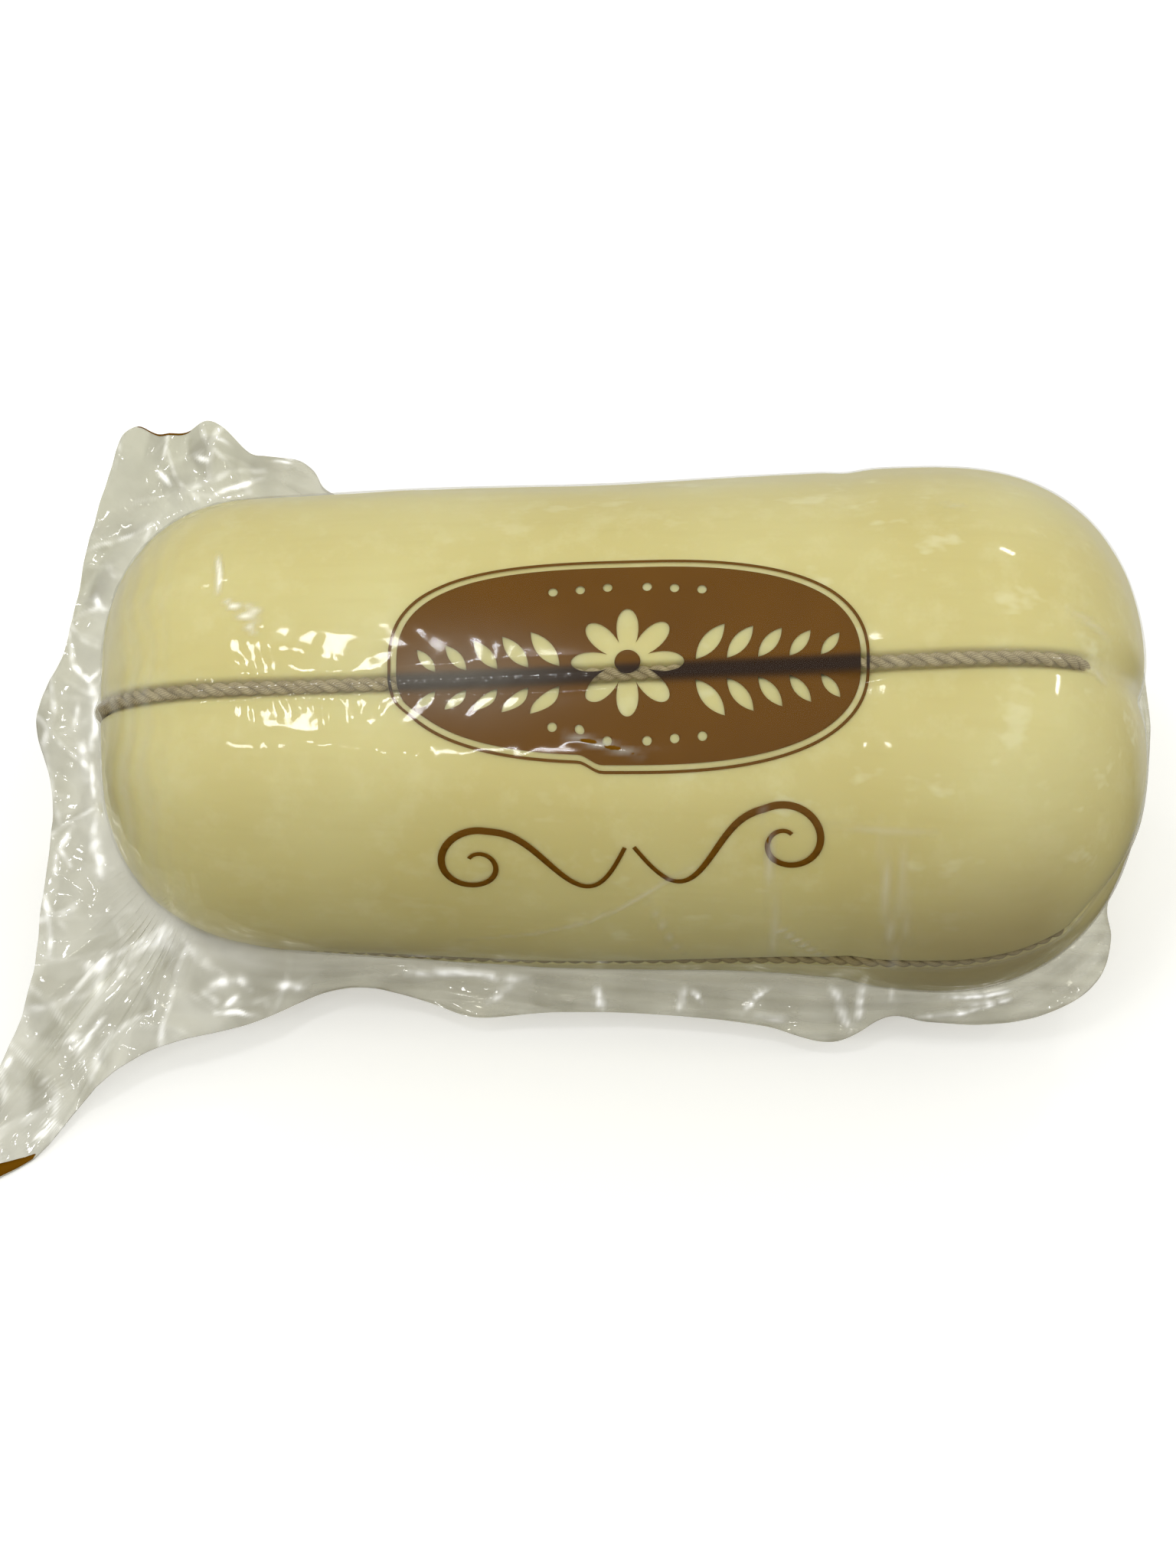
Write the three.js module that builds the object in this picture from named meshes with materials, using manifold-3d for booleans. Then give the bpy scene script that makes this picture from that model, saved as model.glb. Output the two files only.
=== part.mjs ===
// A small provolone, tied lengthwise with two loops of twine and vacuum packed in a clear shrink bag.
// Millimetres, +Z up. It lies on its side on a small flat, with its head towards +X and the crumpled
// neck of the bag towards -X. The printed face of the bag looks up and towards -Y.
//
// The sealed pack is one solid, out to the film: the cheese, the twine that stands proud of it under
// the film, and the crumpled sheet in which the two layers of the bag lie together past the cheese.
// They share one body frame: x runs along the cheese's axis from the middle of its length, and an
// angle of 0 degrees looks towards -Y, 90 up and 180 towards +Y.
import * as THREE from "three";
import { mergeVertices } from "three/addons/utils/BufferGeometryUtils.js";
import Module from "manifold-3d";

const { clamp, degToRad, lerp, smoothstep } = THREE.MathUtils;

// Cheese
const LENGTH = 146;
const MID_RADIUS = 33.7;
const TAPER = 0.04; // radius gained for each millimetre towards the head
const HEAD_SWELL = 0.5; // the head's extra radius, past the crease that a hanging ring left
const HEAD_FROM = 24;
const HEAD_TO = 38;
const CREASE = { x: 31, depth: 0.35, width: 2.6 };
// Each end closes in a superellipse that starts at from. Higher powers make squarer shoulders.
const NECK_CAP = { from: -48.5, power: 2.6, rootPower: 2.5 };
const HEAD_CAP = { from: 40.7, power: 2.45, rootPower: 2.5 };
const UNEVEN = 0.35; // soft dents and swells of a form filled by hand

// Twine. Each loop runs from end to end, round both ends and back on the far side.
const TWINE_RADIUS = 1.3;
const TWINE_SEAT = 0.9; // how far the twine's middle lies below the cheese's unpressed surface
const VALLEY = { depth: 1.0, width: 9 }; // the broad pull of the twine on the cheese
const GROOVE = { depth: 0.4, width: 3 }; // the bed beside it, which the film bridges
const LOOPS = [
  { neckAngle: 56, headAngle: 65, lift: 1.3 },
  { neckAngle: -35, headAngle: -15, lift: 0 },
];
const CROSSING_WIDTH = 4.2; // the first loop rises over the second within this radius of a pole
const CLEFT = { depth: 2.4, from: 58, to: 69 }; // round the head the twine cuts deeper

// Bag. Past the cheese its two layers lie together in one crumpled sheet, the lay-flat of the tube.
// s runs across that sheet from the cheese's axis, towards the front pleat. The edge's points are [x, s].
const BAG_EDGE = [
  [-92.5, 67.3], [-80.2, 61.3], [-73.2, 52.3], [-65.6, 46.3], [-51, 41.9], [-40.8, 37.1],
  [-35, 36.5], [-27, 38.7], [-20.4, 40.5], [-9, 39.7], [5, 40.3], [20, 41.9], [29.3, 44.1],
  [37.6, 41.1], [43, 41.2], [51, 41.5], [60, 39.9], [66.6, 36.1], [69.2, 30.1], [68.4, 25.3],
  [72.6, 13.8], [74.1, 4.3], [74.2, -3.7], [73, -15.7], [67.6, -28.2], [60, -36.3], [44, -41],
  [4, -39.8], [-36, -38.1], [-44.6, -41.1], [-51, -40.1], [-57, -44], [-61.8, -42.7],
  [-68.6, -43.9], [-72.6, -37.2], [-75.6, -23.1], [-78.3, -9.7], [-81.7, -0.7], [-78.8, 11.3],
  [-80, 27.3], [-82.4, 41.3], [-88, 54.9],
];
const FRONT_PLEAT_ANGLE = -44; // where the sheet meets the front of the cheese
const BACK_PLEAT_ANGLE = 172;
const NECK_FRONT_ANGLE = -30; // past the neck end the sheet lies flatter
const NECK_BACK_ANGLE = 152;
const NECK_FROM = -62;
const NECK_TO = -37;
const BEND_FROM = 47; // where the low corner of the neck starts to level out above the table
const BEND_LENGTH = 16;
const CORNER_ANGLE = -6;
const EDGE_HALF = 0.55; // half the thickness of the sheet at its edge
const ROOT_HALF = 3.4; // more half thickness where the film tents off the cheese
const ROOT_REACH = 3.2;
const ROOT_WIDTH = 9; // the tents shrink where the sheet is narrower than this
const ROOT_INSET = 3; // the sheet starts this far inside the cheese
const CRUMPLE = 1.7; // height of the crumples in the open sheet
const CRUMPLE_REACH = 9; // distance from the cheese over which they grow

// How it lies
const PITCH = degToRad(2.45); // the tapered cheese lies with its lower side level
const AXIS_HEIGHT = 33.15; // of the middle of the axis, above the table
const BAG_CLEARANCE = 0.4; // between the bag's low corner and the table

// Mesh densities
const PROFILE_SAMPLES = 240;
const OUTLINE_STEPS = 160;
const STATIONS = 40;
const CAP_DENSITY = 2.1; // stations are this much closer together round the ends
const SECTOR = [0, 0.045, 0.08, 0.14, 0.23, 0.35, 0.5, 0.65, 0.77, 0.86, 0.92, 0.955];
const TWINE_STEPS = 32; // along each of a loop's two lengths
const TWINE_SIDES = 7;
const EDGE_STEPS = 112;
const SHEET_STEPS = [0, 0.22, 0.4, 0.6, 0.8, 1];

const bell = (distance, width) => Math.exp(-((distance / width) ** 2));

// ---------- The cheese's profile: radius along its axis ----------

const bodyRadius = (x) => MID_RADIUS + TAPER * x + HEAD_SWELL * smoothstep(x, HEAD_FROM, HEAD_TO);

// A point of an end cap, from 0 at the body to 1 at the pole.
function capPoint(cap, pole, share) {
  const turn = (share * Math.PI) / 2;
  const x = lerp(cap.from, pole, Math.sin(turn) ** (2 / cap.power));
  return { x, r: bodyRadius(x) * Math.max(0, Math.cos(turn)) ** (2 / cap.rootPower) };
}

function denseProfile() {
  const shares = Array.from({ length: PROFILE_SAMPLES + 1 }, (_, i) => i / PROFILE_SAMPLES);
  const neck = shares.map((share) => capPoint(NECK_CAP, -LENGTH / 2, 1 - share));
  const head = shares.map((share) => capPoint(HEAD_CAP, LENGTH / 2, share));
  const body = shares.slice(1, -1).map((share) => {
    const x = lerp(NECK_CAP.from, HEAD_CAP.from, share);
    return { x, r: bodyRadius(x) };
  });
  return [...neck, ...body, ...head];
}

// The profile as count points with their outward normals, closer together round the ends.
function stations(count, capDensity) {
  const dense = denseProfile();
  const along = [0];
  for (let i = 1; i < dense.length; i++) {
    const step = Math.hypot(dense[i].x - dense[i - 1].x, dense[i].r - dense[i - 1].r);
    const inCap = dense[i].x < NECK_CAP.from || dense[i].x > HEAD_CAP.from;
    along.push(along[i - 1] + step * (inCap ? capDensity : 1));
  }
  const made = [];
  for (let k = 0, i = 1; k < count; k++) {
    const target = (along.at(-1) * k) / (count - 1);
    while (i < dense.length - 1 && along[i] < target) i++;
    const share = Math.min(1, (target - along[i - 1]) / (along[i] - along[i - 1]));
    const [a, b] = [dense[i - 1], dense[i]];
    const size = Math.hypot(b.x - a.x, b.r - a.r);
    const atPole = k === 0 || k === count - 1;
    made.push({
      x: lerp(a.x, b.x, share),
      r: atPole ? 0 : lerp(a.r, b.r, share),
      nx: atPole ? Math.sign(a.x) : -(b.r - a.r) / size,
      nr: atPole ? 0 : (b.x - a.x) / size,
    });
  }
  return made;
}

// ---------- What the twine does to the cheese ----------

const loopAngle = (loop, x) => degToRad(lerp(loop.neckAngle, loop.headAngle, x / LENGTH + 0.5));

const cleft = (x) => CLEFT.depth * smoothstep(x, CLEFT.from, CLEFT.to);

// How far the surface stands in (below 0) or out at a station and an angle.
function relief({ x, r }, angle) {
  let unpressed = 1;
  let unbedded = 1;
  for (const loop of LOOPS) {
    const aside = r * Math.sin(angle - loopAngle(loop, x));
    unpressed *= 1 - bell(aside, VALLEY.width);
    unbedded *= 1 - bell(aside, GROOVE.width);
  }
  const pressed = VALLEY.depth * (1 - unpressed) + (GROOVE.depth + cleft(x)) * (1 - unbedded);
  const crease = CREASE.depth * bell(x - CREASE.x, CREASE.width);
  const waves = Math.sin(x / 13 + 2 * angle) * Math.cos(x / 21 - 3 * angle + 1);
  return UNEVEN * waves * Math.min(1, r / 20) - pressed - crease;
}

// A station's point at an angle, stood out by rise along the surface's normal, in the body frame.
function bodyPoint(station, angle, rise) {
  const reach = station.r + station.nr * rise;
  return new THREE.Vector3(
    station.x + station.nx * rise,
    -reach * Math.cos(angle),
    reach * Math.sin(angle),
  );
}

// From the body frame to the table: pitched about Y and lifted.
function laid(point) {
  return new THREE.Vector3(
    point.x * Math.cos(PITCH) - point.z * Math.sin(PITCH),
    point.y,
    point.z * Math.cos(PITCH) + point.x * Math.sin(PITCH) + AXIS_HEIGHT,
  );
}

function flattened(point, floor) {
  point.z = Math.max(point.z, floor);
  return point;
}

// ---------- Meshes from rows of points ----------

// rows are rings with the same number of points. They close on themselves, or end in a point each.
function meshOfRings(rows, poles) {
  const sides = rows[0].length;
  const positions = rows.flat();
  const triangles = [];
  const corner = (row, side) => (row % rows.length) * sides + (side % sides);
  for (let row = 0; row < (poles ? rows.length - 1 : rows.length); row++) {
    for (let side = 0; side < sides; side++) {
      const [a, b] = [corner(row, side), corner(row + 1, side)];
      const [c, d] = [corner(row + 1, side + 1), corner(row, side + 1)];
      triangles.push([a, b, c], [a, c, d]);
    }
  }
  if (poles) {
    const [first, last] = [positions.push(poles[0]) - 1, positions.push(poles[1]) - 1];
    for (let side = 0; side < sides; side++) {
      triangles.push([first, corner(0, side), corner(0, side + 1)]);
      triangles.push([last, corner(rows.length - 1, side + 1), corner(rows.length - 1, side)]);
    }
  }
  const geometry = new THREE.BufferGeometry().setFromPoints(positions);
  geometry.setIndex(triangles.flat());
  return geometry;
}

// ---------- Solids ----------

const wasm = await Module();
wasm.setup();

function solidOf(geometry) {
  const merged = mergeVertices(geometry, 1e-4);
  const vertProperties = merged.attributes.position.array;
  const triVerts = new Uint32Array(merged.index.array);
  return new wasm.Manifold(new wasm.Mesh({ numProp: 3, vertProperties, triVerts }));
}

function geometryOf(solid) {
  const mesh = solid.getMesh();
  const geometry = new THREE.BufferGeometry();
  geometry.setAttribute("position", new THREE.BufferAttribute(new Float32Array(mesh.vertProperties), 3));
  geometry.setIndex(new THREE.BufferAttribute(new Uint32Array(mesh.triVerts), 1));
  return geometry;
}

// ---------- Cheese ----------

// Angles round the cheese, closest together beside the four lengths of twine.
function ringAngles(x) {
  const [over, under] = LOOPS.map((loop) => loopAngle(loop, x));
  const lengths = [under, over, under + Math.PI, over + Math.PI, under + 2 * Math.PI];
  return [0, 1, 2, 3].flatMap((k) => SECTOR.map((share) => lerp(lengths[k], lengths[k + 1], share)));
}

function cheeseGeometry() {
  const profile = stations(STATIONS, CAP_DENSITY);
  const point = (station, angle) => flattened(laid(bodyPoint(station, angle, relief(station, angle))), 0);
  const ring = (station) => ringAngles(station.x).map((angle) => point(station, angle));
  return meshOfRings(profile.slice(1, -1).map(ring), [point(profile[0], 0), point(profile.at(-1), 0)]);
}

// ---------- Twine ----------

function twineGeometry(loop) {
  const profile = stations(TWINE_STEPS + 1, 1);
  const half = (turn) => profile.map((station) => ({ station, angle: loopAngle(loop, station.x) + turn }));
  const path = [...half(0), ...half(Math.PI).reverse().slice(1, -1)];
  const centres = path.map(({ station, angle }) => {
    const rise = loop.lift * bell(station.r, CROSSING_WIDTH) - TWINE_SEAT - cleft(station.x);
    return bodyPoint(station, angle, rise);
  });
  const rows = path.map(({ station, angle }, i) => {
    const next = centres[(i + 1) % path.length];
    const last = centres[(i + path.length - 1) % path.length];
    const along = new THREE.Vector3().subVectors(next, last).normalize();
    const out = new THREE.Vector3(station.nx, -station.nr * Math.cos(angle), station.nr * Math.sin(angle));
    out.addScaledVector(along, -out.dot(along)).normalize();
    const aside = new THREE.Vector3().crossVectors(along, out);
    return Array.from({ length: TWINE_SIDES }, (_, side) => {
      const turn = -((side + 0.5) * 2 * Math.PI) / TWINE_SIDES;
      const point = centres[i].clone();
      point.addScaledVector(out, TWINE_RADIUS * Math.cos(turn));
      point.addScaledVector(aside, TWINE_RADIUS * Math.sin(turn));
      return flattened(laid(point), 0);
    });
  });
  return meshOfRings(rows);
}

// ---------- Bag ----------

const edgePoints = BAG_EDGE.map(([x, s]) => new THREE.Vector3(x, s, 0));
const edge = new THREE.CatmullRomCurve3(edgePoints, true, "centripetal");

// The cheese's outline in the plane of the sheet, as short lines from end to end on both sides.
const outline = [1, -1].flatMap((side) => {
  const points = stations(OUTLINE_STEPS, 1).map(({ x, r }) => new THREE.Vector3(x, side * r, 0));
  return points.slice(1).map((point, i) => new THREE.Line3(points[i], point));
});

function nearestOnOutline(point) {
  const feet = outline.map((line) => line.closestPointToPoint(point, true, new THREE.Vector3()));
  return feet.reduce((a, b) => (b.distanceTo(point) < a.distanceTo(point) ? b : a));
}

// Where s on the sheet lies in a cross-section: straight, then levelling out near the table.
function sheetPlace(x, s) {
  const atBody = smoothstep(x, NECK_FROM, NECK_TO);
  if (s < 0) {
    const angle = degToRad(lerp(NECK_BACK_ANGLE, BACK_PLEAT_ANGLE, atBody));
    return { y: s * Math.cos(angle), z: -s * Math.sin(angle), angle: angle - Math.PI };
  }
  const start = degToRad(lerp(NECK_FRONT_ANGLE, FRONT_PLEAT_ANGLE, atBody));
  const end = degToRad(CORNER_ANGLE);
  const bent = clamp((s - BEND_FROM) / BEND_LENGTH, 0, 1);
  const angle = lerp(start, end, bent);
  const straight = Math.min(s, BEND_FROM);
  const mean = lerp(start, angle, 0.5);
  const curved = bent * BEND_LENGTH;
  const rest = Math.max(0, s - BEND_FROM - BEND_LENGTH);
  return {
    y: -straight * Math.cos(start) - curved * Math.cos(mean) - rest * Math.cos(angle),
    z: straight * Math.sin(start) + curved * Math.sin(mean) + rest * Math.sin(angle),
    angle,
  };
}

// Folds that run from the cheese out to the edge, crossed by slower ones. round goes from 0 to 1
// once round the edge.
function crumple(round, x, s) {
  const turn = 2 * Math.PI * round;
  const folds = Math.asin(0.92 * Math.sin(19 * turn + 0.6));
  const finer = Math.asin(0.9 * Math.sin(31 * turn + 2));
  return 0.5 * folds + 0.35 * finer + 0.5 * Math.sin(x / 6.5 + s / 11);
}

// The section through the sheet at one place round its edge: out along its lower face and back
// along its upper one.
function sheetRow(round) {
  const end = edge.getPointAt(round);
  const foot = nearestOnOutline(end);
  const width = foot.distanceTo(end);
  const outward = end.clone().sub(foot).normalize();
  const tent = ROOT_HALF * smoothstep(width, 0, ROOT_WIDTH);
  const point = (share, side) => {
    const past = lerp(-ROOT_INSET, width, share);
    const outside = Math.max(0, past);
    const { x, y: s } = foot.clone().addScaledVector(outward, past);
    const half = EDGE_HALF + tent * Math.exp(-outside / ROOT_REACH);
    const wave = CRUMPLE * crumple(round, x, s) * (1 - Math.exp(-outside / CRUMPLE_REACH));
    const { y, z, angle } = sheetPlace(x, s);
    const offset = wave + side * half;
    const place = new THREE.Vector3(x, y + offset * Math.sin(angle), z + offset * Math.cos(angle));
    return flattened(laid(place), BAG_CLEARANCE + (side > 0 ? 2 * EDGE_HALF : 0));
  };
  const lower = SHEET_STEPS.map((share) => point(share, -1));
  const upper = SHEET_STEPS.map((share) => point(share, 1));
  return [...lower, ...upper.reverse()];
}

function sheetGeometry() {
  return meshOfRings(Array.from({ length: EDGE_STEPS }, (_, i) => sheetRow(i / EDGE_STEPS)));
}

// ---------- The packed cheese ----------

const forms = [cheeseGeometry(), ...LOOPS.map(twineGeometry), sheetGeometry()];
const whole = geometryOf(forms.map(solidOf).reduce((joined, form) => joined.add(form)));
whole.computeVertexNormals();

// The origin is on the table, under the middle of the whole pack.
whole.computeBoundingBox();
const middle = whole.boundingBox.getCenter(new THREE.Vector3());
whole.translate(-middle.x, -middle.y, 0);

const filmOverCheese = new THREE.MeshStandardMaterial({ color: "#dcd48f", roughness: 0.15, metalness: 0 });
const bag = new THREE.Mesh(whole, filmOverCheese);
bag.name = "bag";

const pack = new THREE.Group();
pack.add(bag);

export default pack;
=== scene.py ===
# %% [markdown]
# # A vacuum-packed provolone
# A provolone is a stretched-curd cheese: the curd is pulled in hot water, shaped by hand into a log and
# hung in loops of twine. This one was then vacuum packed in a clear shrink bag. Everything here is
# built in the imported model's own frame, in metres, with Z up and the cheese along X.

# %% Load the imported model
import math
import bmesh
import bpy
import numpy as np
from mathutils import Matrix, Vector, noise


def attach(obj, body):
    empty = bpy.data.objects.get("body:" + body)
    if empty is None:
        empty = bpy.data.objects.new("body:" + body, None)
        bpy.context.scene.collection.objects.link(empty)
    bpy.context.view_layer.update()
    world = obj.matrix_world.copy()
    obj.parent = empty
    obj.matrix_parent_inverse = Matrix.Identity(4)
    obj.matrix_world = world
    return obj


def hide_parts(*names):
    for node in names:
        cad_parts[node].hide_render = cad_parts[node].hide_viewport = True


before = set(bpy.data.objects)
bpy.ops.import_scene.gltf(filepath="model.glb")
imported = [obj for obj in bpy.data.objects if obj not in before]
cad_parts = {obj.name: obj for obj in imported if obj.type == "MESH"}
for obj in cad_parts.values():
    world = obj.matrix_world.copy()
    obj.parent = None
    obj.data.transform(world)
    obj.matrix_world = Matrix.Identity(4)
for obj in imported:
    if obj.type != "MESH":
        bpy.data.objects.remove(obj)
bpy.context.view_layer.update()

# %% [markdown]
# ## The body frame
# The model's solid was drawn round the axis of the cheese. All lengths below are millimetres in that
# body frame: x runs from the neck to the head, and an angle of 0 degrees looks towards -Y, 90 up.
# Only the last step, `placed`, pitches the body onto the table and turns millimetres into metres.

# %% Sizes of the cheese
MM = 0.001
LENGTH, MID_RADIUS, TAPER = 146, 33.7, 0.04
HEAD_SWELL, HEAD_FROM, HEAD_TO = 0.5, 24, 38
WAIST_X, WAIST_DEPTH, WAIST_WIDTH = 31, 0.35, 2.6
NECK_CAP = {"from": -48.5, "power": 2.6, "root_power": 2.5, "pole": -LENGTH / 2}
HEAD_CAP = {"from": 40.7, "power": 2.45, "root_power": 2.5, "pole": LENGTH / 2}
UNEVEN = 0.35
PITCH, AXIS_HEIGHT, MIDDLE_OFFSET = math.radians(2.45), 33.15, (8.48, 9.57)


def lerp(a, b, share):
    return a + (b - a) * share


def smoothstep(value, low, high):
    share = np.clip((value - low) / (high - low), 0, 1)
    return share * share * (3 - 2 * share)


def bell(distance, width):
    return np.exp(-((distance / width) ** 2))


def half_turns(angle):
    """The same direction as an angle from -pi to pi."""
    return np.angle(np.exp(1j * angle))


def placed(points):
    """Body-frame millimetres to model-frame metres."""
    x, y, z = np.moveaxis(np.asarray(points, float), -1, 0)
    return MM * np.stack([
        x * math.cos(PITCH) - z * math.sin(PITCH) + MIDDLE_OFFSET[0],
        y + MIDDLE_OFFSET[1],
        z * math.cos(PITCH) + x * math.sin(PITCH) + AXIS_HEIGHT,
    ], axis=-1)


print("log:", LENGTH, "mm long, tipped", round(math.degrees(PITCH), 2), "degrees")


# %% [markdown]
# ## The profile
# The log swells a little from neck to head, and each end closes in a superellipse, which has squarer
# shoulders than a round cap. `stations` walks that profile and keeps the outward normal at each stop,
# so that later pieces can stand off the surface by an exact rise.

# %% The profile along the axis
RIPPLED_X, RIPPLED_WIDTH = -36, 22


def body_radius(x):
    return MID_RADIUS + TAPER * x + HEAD_SWELL * smoothstep(x, HEAD_FROM, HEAD_TO)


def cap_points(cap, shares):
    turn = shares * math.pi / 2
    x = lerp(cap["from"], cap["pole"], np.sin(turn) ** (2 / cap["power"]))
    return x, body_radius(x) * np.maximum(0, np.cos(turn)) ** (2 / cap["root_power"])


def stations(count, cap_density=1.0, neck_density=0.0):
    """Columns x, r, nx and nr at count places from the neck's pole to the head's, closer together in
    the caps and where the film is rippled, by the two densities."""
    shares = np.linspace(0, 1, 400)
    neck_x, neck_r = cap_points(NECK_CAP, shares[::-1])
    head_x, head_r = cap_points(HEAD_CAP, shares)
    body_x = lerp(NECK_CAP["from"], HEAD_CAP["from"], shares[1:-1])
    x = np.concatenate([neck_x, body_x, head_x])
    r = np.concatenate([neck_r, body_radius(body_x), head_r])
    in_cap = (x[1:] < NECK_CAP["from"]) | (x[1:] > HEAD_CAP["from"])
    dense = np.where(in_cap, cap_density, 1) + neck_density * bell(x[1:] - RIPPLED_X, RIPPLED_WIDTH)
    steps = np.hypot(np.diff(x), np.diff(r)) * dense
    along = np.concatenate([[0], np.cumsum(steps)])
    stops = np.linspace(0, along[-1], count)
    sx, sr = np.interp(stops, along, x), np.interp(stops, along, r)
    tx, tr = np.gradient(sx), np.gradient(sr)
    size = np.hypot(tx, tr)
    nx, nr = -tr / size, tx / size
    nx[0], nx[-1], nr[0], nr[-1] = -1, 1, 0, 0
    return np.stack([sx, sr, nx, nr])


PROFILE = stations(1200)
print("profile: largest radius", round(float(PROFILE[1].max()), 2), "mm")


def stood_off(station, angle, rise):
    """Points at an angle round the stations, out from the surface by a rise in millimetres."""
    x, r, nx, nr = station
    reach = r + nr * rise
    return np.stack(np.broadcast_arrays(x + nx * rise, -reach * np.cos(angle), reach * np.sin(angle)), -1)


def station_at(x):
    """The station at any x between the poles."""
    return np.stack([np.asarray(x, float)] + [np.interp(x, PROFILE[0], column) for column in PROFILE[1:]])


# %% [markdown]
# ## What the twine does to the cheese
# Soft cheese creeps round a taut string. Each length of twine lies in a broad valley with a narrow bed
# along its middle. Near the head the string has cut so deep that the cheese has closed over it, and
# only a cleft shows where it runs.

# %% Sizes of the loops, valleys and beds
PLY_RADIUS, LAY_RADIUS, PLY_PITCH = 0.5, 0.43, 4.3
TWINE_RADIUS = PLY_RADIUS + LAY_RADIUS
VALLEY_WIDTH, BED_DEPTH = 9, 1.3
BURIAL = {"from": 59, "to": 66, "depth": 3.0, "cleft": 1.1, "width": 3.2}
CROSSING_WIDTH, CROSSING_DIMPLE = 4.2, 1.6
NECK_FLAT = {"rise": -0.7, "x": -62, "width": 11, "angle": -40, "spread": 48}
HEAD_SAG = {"rise": 1.5, "x": 44, "width": 20, "angle": -52, "spread": 27}
BELLY_SAG = {"rise": 1.3, "x": -20, "width": 24, "angle": -50, "spread": 25}
SOFT_STRETCH = {"x": -34, "width": 20, "gain": 0.75}
LOOPS = [
    {"name": "twine_over", "neck_angle": 56, "head_angle": 65, "bow": 0, "lift": -0.3, "seat": 0.15,
     "valley": 0.9, "bed": 1.2},
    {"name": "twine_under", "neck_angle": -41, "head_angle": -10, "bow": -3, "lift": -1.6, "seat": 0.62,
     "valley": 0.35, "bed": 0.7},
]
BOW_AT, BOW_WIDTH = -8, 28


def loop_angle(loop, x, angle):
    """Where a loop lies at x, on the side that angle is on. The near side may bow out of its plane."""
    straight = np.radians(lerp(loop["neck_angle"], loop["head_angle"], x / LENGTH + 0.5))
    near = np.maximum(0, np.cos(angle - straight))
    return straight + math.radians(loop["bow"]) * bell(x - BOW_AT, BOW_WIDTH) * near


print("loops of twine:", [loop["name"] for loop in LOOPS])


# %% The surface under the twine
def softness(x):
    """The cheese gave way more where it is softest, near the neck."""
    return 1 + SOFT_STRETCH["gain"] * bell(x - SOFT_STRETCH["x"], SOFT_STRETCH["width"])


def buried(x):
    return smoothstep(x, BURIAL["from"], BURIAL["to"])


def aside_of(loop, x, r, angle):
    """Millimetres from the plane of a loop."""
    return r * np.sin(angle - loop_angle(loop, x, angle))


def lumps(x, angle):
    """Where the soft cheese has sagged or been pressed flat."""
    rise = 0
    for lump in (NECK_FLAT, HEAD_SAG, BELLY_SAG):
        turned = np.degrees(half_turns(angle - math.radians(lump["angle"])))
        rise = rise + lump["rise"] * bell(x - lump["x"], lump["width"]) * bell(turned, lump["spread"])
    return rise


def unevenness(x, r, angle):
    waves = np.sin(x / 13 + 2 * angle) * np.cos(x / 21 - 3 * angle + 1)
    return UNEVEN * waves * np.minimum(1, r / 20) + lumps(x, angle)


def pull(x, r, angle, width, power=2, share=None):
    """How strongly the lengths of twine act on a place, from 0 to 1, or each by its own share."""
    spared = 1
    for loop in LOOPS:
        near = np.exp(-np.abs(aside_of(loop, x, r, angle) / width) ** power)
        spared = spared * (1 - near * (loop[share] if share else 1))
    return 1 - spared


def soft_rise(x, r, angle):
    """The surface without the twine's narrow bed: what the film spans."""
    cleft = BURIAL["cleft"] * buried(x) * pull(x, r, angle, BURIAL["width"])
    waist = WAIST_DEPTH * bell(x - WAIST_X, WAIST_WIDTH)
    valley = softness(x) * pull(x, r, angle, VALLEY_WIDTH, share="valley")
    return unevenness(x, r, angle) - valley - waist - cleft


def cheese_rise(x, r, angle):
    near = [np.exp(-(aside_of(loop, x, r, angle) / loop["bed"]) ** 4) for loop in LOOPS]
    bed = BED_DEPTH * (1 - buried(x)) * np.maximum(*near)
    return soft_rise(x, r, angle) - bed - CROSSING_DIMPLE * bell(r, CROSSING_WIDTH)


def twine_depth(loop, x, r, angle):
    """How deep the middle of the twine lies under the round of the cheese, in millimetres."""
    lift = loop["lift"] * bell(r, CROSSING_WIDTH) + lumps(x, angle)
    return loop["valley"] * softness(x) + loop["seat"] + BURIAL["depth"] * buried(x) - lift


for loop in LOOPS:
    depths = [twine_depth(loop, x, body_radius(x), math.radians(loop["head_angle"])) for x in (0, 70)]
    print(loop["name"], "lies this deep at the middle and the head, mm:", np.round(depths, 2).tolist())


# %% [markdown]
# ## Meshes from rings
# Both the cheese and the film on it are surfaces of revolution that have been pushed in and out. One
# function turns rings of points into a closed mesh: quads between the rings and a fan at each pole.

# %% From rings to a mesh
def add_object(name, data):
    made = bpy.data.objects.new(name, data)
    bpy.context.scene.collection.objects.link(made)
    return made


def mesh_from(name, points, faces):
    mesh = bpy.data.meshes.new(name)
    mesh.from_pydata(np.asarray(points).reshape(-1, 3).tolist(), [], faces)
    mesh.validate()
    mesh.shade_smooth()
    return mesh


def ring_faces(rows, sides, closed=False):
    """Quads between rows of sides points. A closed set of rows joins its last row to its first."""
    row = np.arange(rows if closed else rows - 1)[:, None]
    side = np.arange(sides)[None, :]
    below, above = row * sides, (row + 1) % rows * sides
    beside = (side + 1) % sides
    quads = np.stack([below + side, above + side, above + beside, below + beside], -1)
    return quads.reshape(-1, 4).tolist()


def shell_mesh(name, rings, poles):
    rows, sides = rings.shape[:2]
    first, last = rows * sides, rows * sides + 1
    faces = ring_faces(rows, sides)
    top = (rows - 1) * sides
    for side in range(sides):
        beside = (side + 1) % sides
        faces.append([first, side, beside])
        faces.append([last, top + beside, top + side])
    points = np.concatenate([rings.reshape(-1, 3), poles])
    return mesh_from(name, points, faces)


def triangles(mesh):
    return sum(len(face.vertices) - 2 for face in mesh.polygons)


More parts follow.
